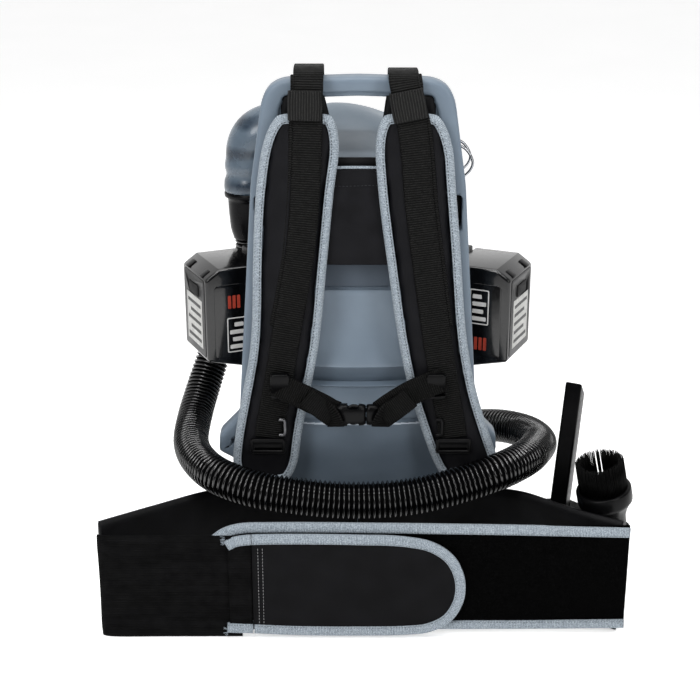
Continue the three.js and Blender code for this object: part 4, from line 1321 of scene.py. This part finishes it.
def add_sternum():
    """Chest strap: a slider on each side, webbing with a slack fold and tail, and the buckle."""
    left = [(-84, -123, 243), (-76, -128.5, 241), (-64, -131, 236), (-50, -131.5, 229), (-36, -130, 221),
            (-27, -129, 215), (-21, -128, 212)]
    right = [(22.5, -128, 213), (29, -129.5, 219), (38, -131, 226), (50, -131.5, 234), (64, -130.5, 241),
             (78, -128, 246), (86, -123.5, 248)]
    up = (0.0, -0.94, 0.34)
    ribbon("sternum_webbing_left", left, 25, 1.8, WEAVE, up, nodes=["sternum_strap_left"])
    slack = ribbon("sternum_webbing_right", right, 25, 1.8, WEAVE, up, nodes=["sternum_strap_right"])
    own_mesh(slack)
    # the right tail and fold stand clear of the webbing, since they move with the tongue
    for side, name, body, clear in ((-1, "left", "frame", 0), (1, "right", "buckle_tongue", 3.4)):
        tail = [(side * 35, -132, 221), (side * 29, -134.5, 216), (side * 24.5, -135.6, 209),
                (side * 22, -135, 201)]
        ribbon(f"sternum_tail_{name}", tail, 20, 1.7, WEAVE, (side * 0.45, -0.9, 0), body)
        fold = [(side * 52, -133.2 - clear, 233), (side * 44, -136 - clear, 227),
                (side * 34, -136 - clear, 219), (side * 25, -133.5 - clear, 211)]
        ribbon(f"sternum_fold_{name}", fold, 22, 1.7, WEAVE, (side * -0.25, -0.9, 0.35), body)
        x = side * 78
        outline = rounded_outline(x - 9.5, 228, x + 9.5, 254, 3, 4)
        slider = prism(f"sternum_slide_{name}", outline, -130, -121.4, front_place, TOOL, 1.4,
                       slot="black_plastic", nodes=[f"sternum_slider_{name}"])
        cut_prism(slider, rounded_outline(x - 12, 231.5, x + 12, 235, 1, 2), -140, -110)
    add_buckle()


def add_buckle():
    """Side-release buckle: a crowned socket with side windows, and the pronged tongue."""
    middle = 211.0

    def buckle_ring(x, half_z, front, back):
        """A rounded square, half_z above and below the middle and from front to back."""
        ring = []
        for c, s in round_section(1, 20):
            squareness = (abs(c) ** 3 + abs(s) ** 3) ** (-1 / 3)
            depth = (front + back) / 2 + (back - front) / 2 * c * squareness
            ring.append(mm(x, depth, middle + half_z * s * squareness))
        return ring

    socket = [(-21.6, 9, -131.5, -124.5), (-21, 10.5, -133, -123), (-17, 11.6, -134, -122.4),
              (-8, 12, -134.8, -122), (0, 11.6, -134.6, -122), (5, 11, -134, -122.4), (7.6, 10, -133, -123),
              (8, 9, -132, -124)]
    shell = loft("buckle_shell", [buckle_ring(*ring) for ring in socket], TOOL, "frame",
                 "black_plastic", ["buckle_socket"])
    for low, high in ((197.5, 203.5), (218.5, 224.5)):
        cut_prism(shell, rounded_outline(-11, low, 1, high, 2.4, 3), -140, -115)
    bevelled(shell, 0.5, 2, 50)
    tongue = [(8.4, 9, -132, -124), (9, 10.6, -133.4, -122.8), (12, 11, -133.8, -122.4),
              (17, 10.6, -133, -122.8), (21.4, 10, -132, -123.6), (22.2, 9, -131, -124.4)]
    loft("buckle_grip", [buckle_ring(*ring) for ring in tongue], TOOL, "buckle_tongue", "black_plastic",
         ["buckle_tongue"])
    for lift, name in ((-7.5, "low"), (7.5, "high")):
        prong = [mm(x, -128, middle + lift * share)
                 for x, share in ((9, 0.6), (2, 1), (-5, 1.25), (-10, 0.9))]
        rings = swept_rings(spaced(smooth_line(prong, 8), 1.5 * MM),
                            [(s * 1.8 * MM, u * 2.4 * MM) for s, u in round_section(1, 10)])
        loft(f"buckle_prong_{name}", rings, BLACK, "buckle_tongue", "black_plastic")


# ------------------------------------------------------------------ waist belt

def cloth_strip(name, line, thick, low, high, material, slot, node, wave, seed, rows=26):
    """Upright cloth along a floor line in mm, with a soft hem and gentle ripple."""
    path = spaced(smooth_line([mm(x, y, 0) for x, y in line], 8), 3 * MM)
    rings = []
    for p, side, _ in travel_frames(path, UPWARD):
        outer = []
        inner = []
        for j in range(rows):
            t = j / (rows - 1)
            z = (low + (high - low) * t) * MM
            fade = min(1.0, min(t, 1 - t) * 8)
            ripple = noise.noise(Vector((p.x * 18, p.y * 18 + seed, z * 26))) * wave * MM * fade
            half = thick / 2 * (1 if 0 < j < rows - 1 else 0.45) * MM
            base = Vector((p.x, p.y, z)) + side * ripple
            outer.append(base + side * half)
            inner.append(base - side * half)
        rings.append(outer + inner[::-1])
    return loft(name, rings, material, "frame", slot, [node])


def belt_binding(name, points, front, width=9.6, depth=4.2, body="frame"):
    """Grey ribbon folded over a belt edge: points are [x, z] of the edge, inside to the right."""
    line = [mm(x, 0, z) for x, z in points]
    line = spaced(smooth_line(line, 8), 3 * MM)
    rings = []
    seam = []
    for p, side, _ in travel_frames(line, REARWARD):
        section = [(-0.9, 0), (-0.7, -depth * 0.42), (0.6, -depth * 0.5), (width - 1.2, -depth * 0.5),
                   (width - 0.2, -depth * 0.36), (width, 0), (width - 0.2, depth * 0.36),
                   (width - 1.2, depth * 0.5), (0.6, depth * 0.5), (-0.7, depth * 0.42)]
        rings.append([p - side * s * MM + mm(0, front + u, 0) for s, u in section])
        seam.append(p - side * (width - 1.5) * MM + mm(0, front - depth * 0.5, 0))
    binding = loft(name, rings, PIPING, body, "belt_cloth")
    add_seam(f"{name}_seam", seam, 1.7, 1.3, 0.45, 0.05, body=body, slot="belt_cloth")
    return binding


RIGHT_WING = [(262, -192), (225, -168), (193, -142), (168, -123), (127, -112.5), (0.4, -112.5)]
LEFT_WING = [(-0.4, -112.5), (-127, -112.5), (-157, -123), (-200, -152), (-256, -192)]
WING_OFFSET = 3  # from the wing's rear face to its middle
FLAP_EDGE = [  # from its upper fixed end round the tip to the lower one
    (-131, 108), (-118, 113), (-100, 114.8), (-60, 115.2), (0, 114.4), (45, 112.5), (74, 106), (95, 90),
    (105, 66), (104, 42), (92, 20), (72, 8.5), (50, 5.5), (0, 4.5), (-60, 5), (-105, 7), (-131, 9),
]
LOOP_FRONT = -199.4
FLAP_FRONT = -205


def add_belt():
    for name, route, seed in (("right", RIGHT_WING, 3), ("left", LEFT_WING, 5)):
        line = [(x, y + WING_OFFSET) for x, y in route]
        wing = cloth_strip(f"belt_{name}_wing", line, 6, 0.4, 122, WING, "padded_nylon",
                           f"belt_wing_{name}", wave=1.6, seed=seed)
    elastic = cloth_strip(
        "belt_elastic_band", [(-256.5, -199), (-250, -201.4), (-190, -201.8), (-116, -201.5)], 2.4, 0.3,
        113, ELASTIC, "belt_cloth", "belt_elastic", wave=1.3, seed=8, rows=60)
    panel = cloth_strip(
        "belt_loop_cloth", [(-120, -198.2), (0, -198.6), (200, -198.4), (267, -198.2)], 2.4, 8.4, 122.4,
        LOOP, "belt_cloth", "belt_loop_panel", wave=0.9, seed=11)
    top = [(-147, 108), (-134, 118), (-118, 123.5), (-80, 125), (0, 124.6), (140, 122.6), (267, 119.5)]
    bindings = [
        belt_binding("loop_binding_top", top, LOOP_FRONT, 9.6, 4.6),
        belt_binding("loop_binding_low", [(267, 10), (180, 9), (80, 8.6), (-40, 8.6), (-140, 8.6)],
                     LOOP_FRONT, 8.5, 4.6),
    ]
    add_flap()


def add_flap():
    """The closing flap: smooth face, bound edge, double seam and frayed ends at its root."""
    edge = FLAP_EDGE
    face_line = spaced(smooth_line([mm(x, 0, z) for x, z in edge], 8), 3 * MM)
    tip = [p for p in face_line if p.x > -0.105]
    rings = []
    columns = 40
    steps = 16
    inset = 0.004
    for k in range(columns + 1):
        x = -0.1045 + 0.2075 * k / columns
        crossing = [p.z for p in tip if abs(p.x - x) < inset]
        high = max(crossing) - inset
        low = min(crossing) + inset
        column = []
        for j in range(steps + 1):
            z = low + (high - low) * j / steps
            swell = 0.8 * math.sin(math.pi * j / steps) * MM
            puff = swell * (0.4 + noise.noise(Vector((x * 20, 0, z * 25))))
            column.append(Vector((x, -0.2062 - puff, z)))
        back = [Vector((p.x, -0.2036, p.z)) for p in reversed(column)]
        rings.append(column + back)
    face = loft("flap_face", rings, FLAP, "belt_flap", "padded_nylon", ["belt_flap"])
    # the lower end stops short of the sewn end's binding, so that the two part as the flap peels
    moving = [(-104.6, 114.5), *((x, z) for x, z in edge if x > -104), (-103.9, 7)]
    binding = belt_binding("flap_binding", moving, FLAP_FRONT, body="belt_flap")
    fixed_top = [(-131, 107.5), (-122, 112), (-112, 113.9), (-105, 114.5)]
    fixed_low = [(-105, 7), (-116, 7.4), (-131, 8)]
    belt_binding("flap_root_binding_top", fixed_top, FLAP_FRONT)
    belt_binding("flap_root_binding_low", fixed_low, FLAP_FRONT)
    root = [(-128, -204.7), (-118, FLAP_FRONT), (-105.3, FLAP_FRONT)]
    sewn_end = cloth_strip("flap_root", root, 2.2, 9, 112, ELASTIC, "belt_cloth", "belt_flap_base",
                           wave=0.5, seed=21)
    for x in (-98.5, -94.0):
        seam = [mm(x, -206.9, z) for z in range(14, 106, 4)]
        add_seam(f"flap_seam_{int(-x)}", seam, 2.2, 1.3, 0.5, 0.1, THREAD, "belt_flap")
    # loose ends of thread at the sewn end's two corners
    rng = random.Random(7)
    parts = []
    for z, count in ((110, 14), (8, 12)):
        for _ in range(count):
            start = mm(-130.5, FLAP_FRONT + rng.uniform(-1.5, 1.5), z + rng.uniform(-4, 4))
            end = start + mm(-rng.uniform(1.5, 5), rng.uniform(-1, 1), rng.uniform(-3, 3))
            parts.append(loft_data(swept_rings([start, start.lerp(end, 0.5), end],
                                               round_section(0.22 * MM, 5), Vector((0, 0.3, 1)))))
    merged("flap_fray", parts, PIPING, "frame", "belt_cloth")


# ------------------------------------------------------------------ tools on the belt

def leaning(place, y_turn, other_turn, other_axis):
    """A tool's own frame: its origin in mm, and two turns in degrees."""
    turn = Matrix.Rotation(math.radians(y_turn), 4, "Y")
    return Matrix.Translation(mm(*place)) @ turn @ Matrix.Rotation(math.radians(other_turn), 4, other_axis)


BRUSH_PLACE = leaning((250, -143, 132), -12, 5, "X")
CREVICE_PLACE = leaning((207.5, -108, 44), 4, -18, "Z")
BRUSH_AXIS = (BRUSH_PLACE.to_3x3() @ UPWARD).normalized()
BRUSH_ORIGIN = BRUSH_PLACE.translation


def add_brush():
    outside = [
        (17.5, -64), (17.6, -40), (18.4, -28), (21, -20), (25.5, -12), (27.6, -9.5), (28, -7), (28, 4),
        (27.4, 5.6), (26.4, 6),
    ]
    inside = [(19, 6), (18, -4), (14.5, -20), (14.5, -64)]
    turned_wall("brush_shell", outside + inside, BRUSH_ORIGIN, TOOL, "dusting_brush", ["brush_body"],
                BRUSH_AXIS, 56)
    add_bristles(BRUSH_ORIGIN, BRUSH_AXIS)


def add_bristles(origin, axis):
    """Five rings of bristles with three slits on the side that shows."""
    rng = random.Random(11)
    thirds = (0, 2.094, 4.189)  # a bristle has three sides
    side = axis.orthogonal().normalized()
    above = axis.cross(side).normalized()
    parts = []
    rows = ((19.4, 84), (20.6, 88), (21.8, 92), (22.9, 96), (23.8, 100))
    slits = [math.atan2(out.dot(above), out.dot(side))
             for out in (Vector((x, 1, 0)) for x in (-0.33, -0.02, 0.2))]
    for radius, count in rows:
        for k in range(count):
            angle = 2 * math.pi * (k + rng.uniform(-0.3, 0.3)) / count
            if any(abs(math.remainder(angle - slit, 2 * math.pi)) < 0.035 for slit in slits):
                continue
            out = side * math.cos(angle) + above * math.sin(angle)
            foot = origin + out * radius * MM + axis * 5.5 * MM
            tip = foot + axis * (32 + rng.uniform(-1.6, 0.4)) * MM + out * rng.uniform(-0.4, 0.6) * MM
            tip += out.cross(axis) * rng.uniform(-0.7, 0.7) * MM
            thick = 0.62 * MM
            rings = []
            for share, scale in ((0, 1.15), (0.5, 1.0), (1, 0.55)):
                centre = foot.lerp(tip, share)
                rings.append([centre + (out * math.cos(a) + out.cross(axis) * math.sin(a)) * thick * scale
                              for a in thirds])
            parts.append(loft_data(rings))
    merged("brush_crown", parts, BRISTLE, "dusting_brush", "rubber", ["brush_bristles"])


def add_crevice_tool():
    """A flat nozzle, its mouth cut on a slant with the front wall taller."""
    def ring(z, half_x, half_y, radius=3.0, slant=0.0):
        points = rounded_outline(-half_x, -half_y, half_x, half_y, radius, 5)
        return [CREVICE_PLACE @ mm(x, y, z - slant * y) for x, y in points]

    outer = [ring(0, 8.3, 18.8), ring(1, 8.6, 19.2), ring(8, 8.6, 19.2), ring(10, 8.4, 18.9),
             ring(60, 8.4, 18.9), ring(120, 8.3, 18.7), ring(160, 8.2, 18.5),
             ring(187.5, 8.2, 18.4, slant=0.63), ring(188.7, 7.8, 18.0, slant=0.63)]
    inner = [ring(188.7, 6.6, 16.8, 2.2, 0.63), ring(160, 6.4, 16.6, 2.2), ring(0, 6.4, 17, 2.2)]
    tool = loft("crevice_nozzle", outer + inner, TOOL_GLOSS, "crevice_tool", "black_plastic",
                ["crevice_tool"], caps=False, closed=True)
    shade_by_angle(tool, 40)


def add_tool_holder():
    """Loops of stiff webbing sewn to the wing, one round each tool."""
    holder = [(194, -140), (220, -158), (234, -167), (258, -171), (275, -164), (279, -140), (273, -120),
              (250, -108), (224, -80), (200, -80), (192, -100)]
    loops = prism("holder_loops", holder, 64, 96, mm, WEBBING, 3.0, 4, slot="nylon_webbing",
                  nodes=["tool_holder"])
    cut_loft(loops, turned_rings([(18.2, -110), (18.2, 30)], BRUSH_ORIGIN, BRUSH_AXIS, 40))
    cut_loft(loops, [[CREVICE_PLACE @ mm(x, y, z) for x, y in rounded_outline(-9.2, -19.8, 9.2, 19.8, 4, 4)]
                     for z in (-30, 120)])
    shade_by_angle(loops, 40)


# ------------------------------------------------------------------ CAD nodes that stay

def dress_inner_parts():
    """Gives the CAD parts that are kept as they are a material with real detail."""
    looks = {
        "filter_bag": PAPER, "motor_filter": PAPER, "filter_bag_collar": BLACK, "motor_housing": BLACK,
        "motor_seal": RUBBER, "fan_impeller": HOUSING, "controller_board": BOARD,
        "battery_terminals_left": BRASS, "battery_terminals_right": BRASS,
    }
    for name, look in looks.items():
        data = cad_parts[name].data
        data.materials.clear()
        data.materials.append(look)


# ------------------------------------------------------------------ stage

def add_stage():
    """A bright floor, a world that is white behind the object and dim behind the camera, and lamps."""
    floor_mesh = bpy.data.meshes.new("floor")
    corners = [(x, y, 0) for x, y in rectangle(-8, -8, 8, 8)]
    floor_mesh.from_pydata(corners, [], [(0, 1, 2, 3)])
    floor = bpy.data.objects.new("floor", floor_mesh)
    floor.location.z = -0.0005
    look = Look("floor_white")
    look.colours(look.noise(0.5), (0.93, 0.93, 0.93), (0.95, 0.95, 0.95))
    look.rough(look.noise(0.3), 0.6, 0.7)
    look.set(Emission_Color=(1, 1, 1, 1), Emission_Strength=0.5)
    floor_mesh.materials.append(look.material)
    scene.collection.objects.link(floor)

    world = bpy.data.worlds.new("studio")
    world.use_nodes = True
    background = world.node_tree.nodes["Background"]
    background.inputs["Color"].default_value = (1, 1, 1, 1)
    nodes = world.node_tree.nodes
    links = world.node_tree.links
    way = nodes.new("ShaderNodeTexCoord")
    parts = nodes.new("ShaderNodeSeparateXYZ")
    ramp = nodes.new("ShaderNodeMapRange")
    ramp.interpolation_type = "SMOOTHSTEP"
    for end, value in (("From Min", -0.2), ("From Max", 0.7), ("To Min", 0.10), ("To Max", 1.02)):
        ramp.inputs[end].default_value = value
    links.new(way.outputs["Generated"], parts.inputs["Vector"])
    links.new(parts.outputs["Y"], ramp.inputs["Value"])
    links.new(ramp.outputs["Result"], background.inputs["Strength"])
    scene.world = world

    def area(name, place, aim, size, power):
        data = bpy.data.lights.new(name, "AREA")
        data.shape = "RECTANGLE"
        data.size = size[0]
        data.size_y = size[1]
        data.energy = power
        light = bpy.data.objects.new(name, data)
        light.location = place
        way = Vector(aim) - Vector(place)
        light.rotation_euler = way.to_track_quat("-Z", "Y").to_euler()
        scene.collection.objects.link(light)

    area("key_left", (-1.0, -1.6, 1.5), (0, -0.1, 0.3), (0.7, 0.9), 20)
    area("fill_right", (1.2, -1.5, 1.1), (0, -0.1, 0.25), (0.5, 0.9), 12)
    area("top", (0, 0.0, 1.9), (0, -0.05, 0.3), (1.2, 0.6), 12)
    area("glint_strip", (0, -0.85, 1.8), (0, -0.15, 0.15), (1.5, 0.10), 15)


# ------------------------------------------------------------------ assembly

scene.view_settings.view_transform = "Standard"
scene.view_settings.look = "None"

add_elbow()
add_cuff()
add_hose()
add_backplate()
add_canister()
add_lid()
add_grille()
for SIDE, NAME in ((-1, "left"), (1, "right")):
    add_latch(SIDE, NAME)
    add_battery(SIDE, NAME)
    add_shoulder_pad(NAME)
    add_strap_webbing(NAME)
    add_keeper(NAME)
    add_ladder_lock(NAME)
    add_anchor_cloth(NAME)
add_back_pad()
add_sternum()
add_belt()
add_brush()
add_crevice_tool()
add_tool_holder()
dress_inner_parts()
add_stage()
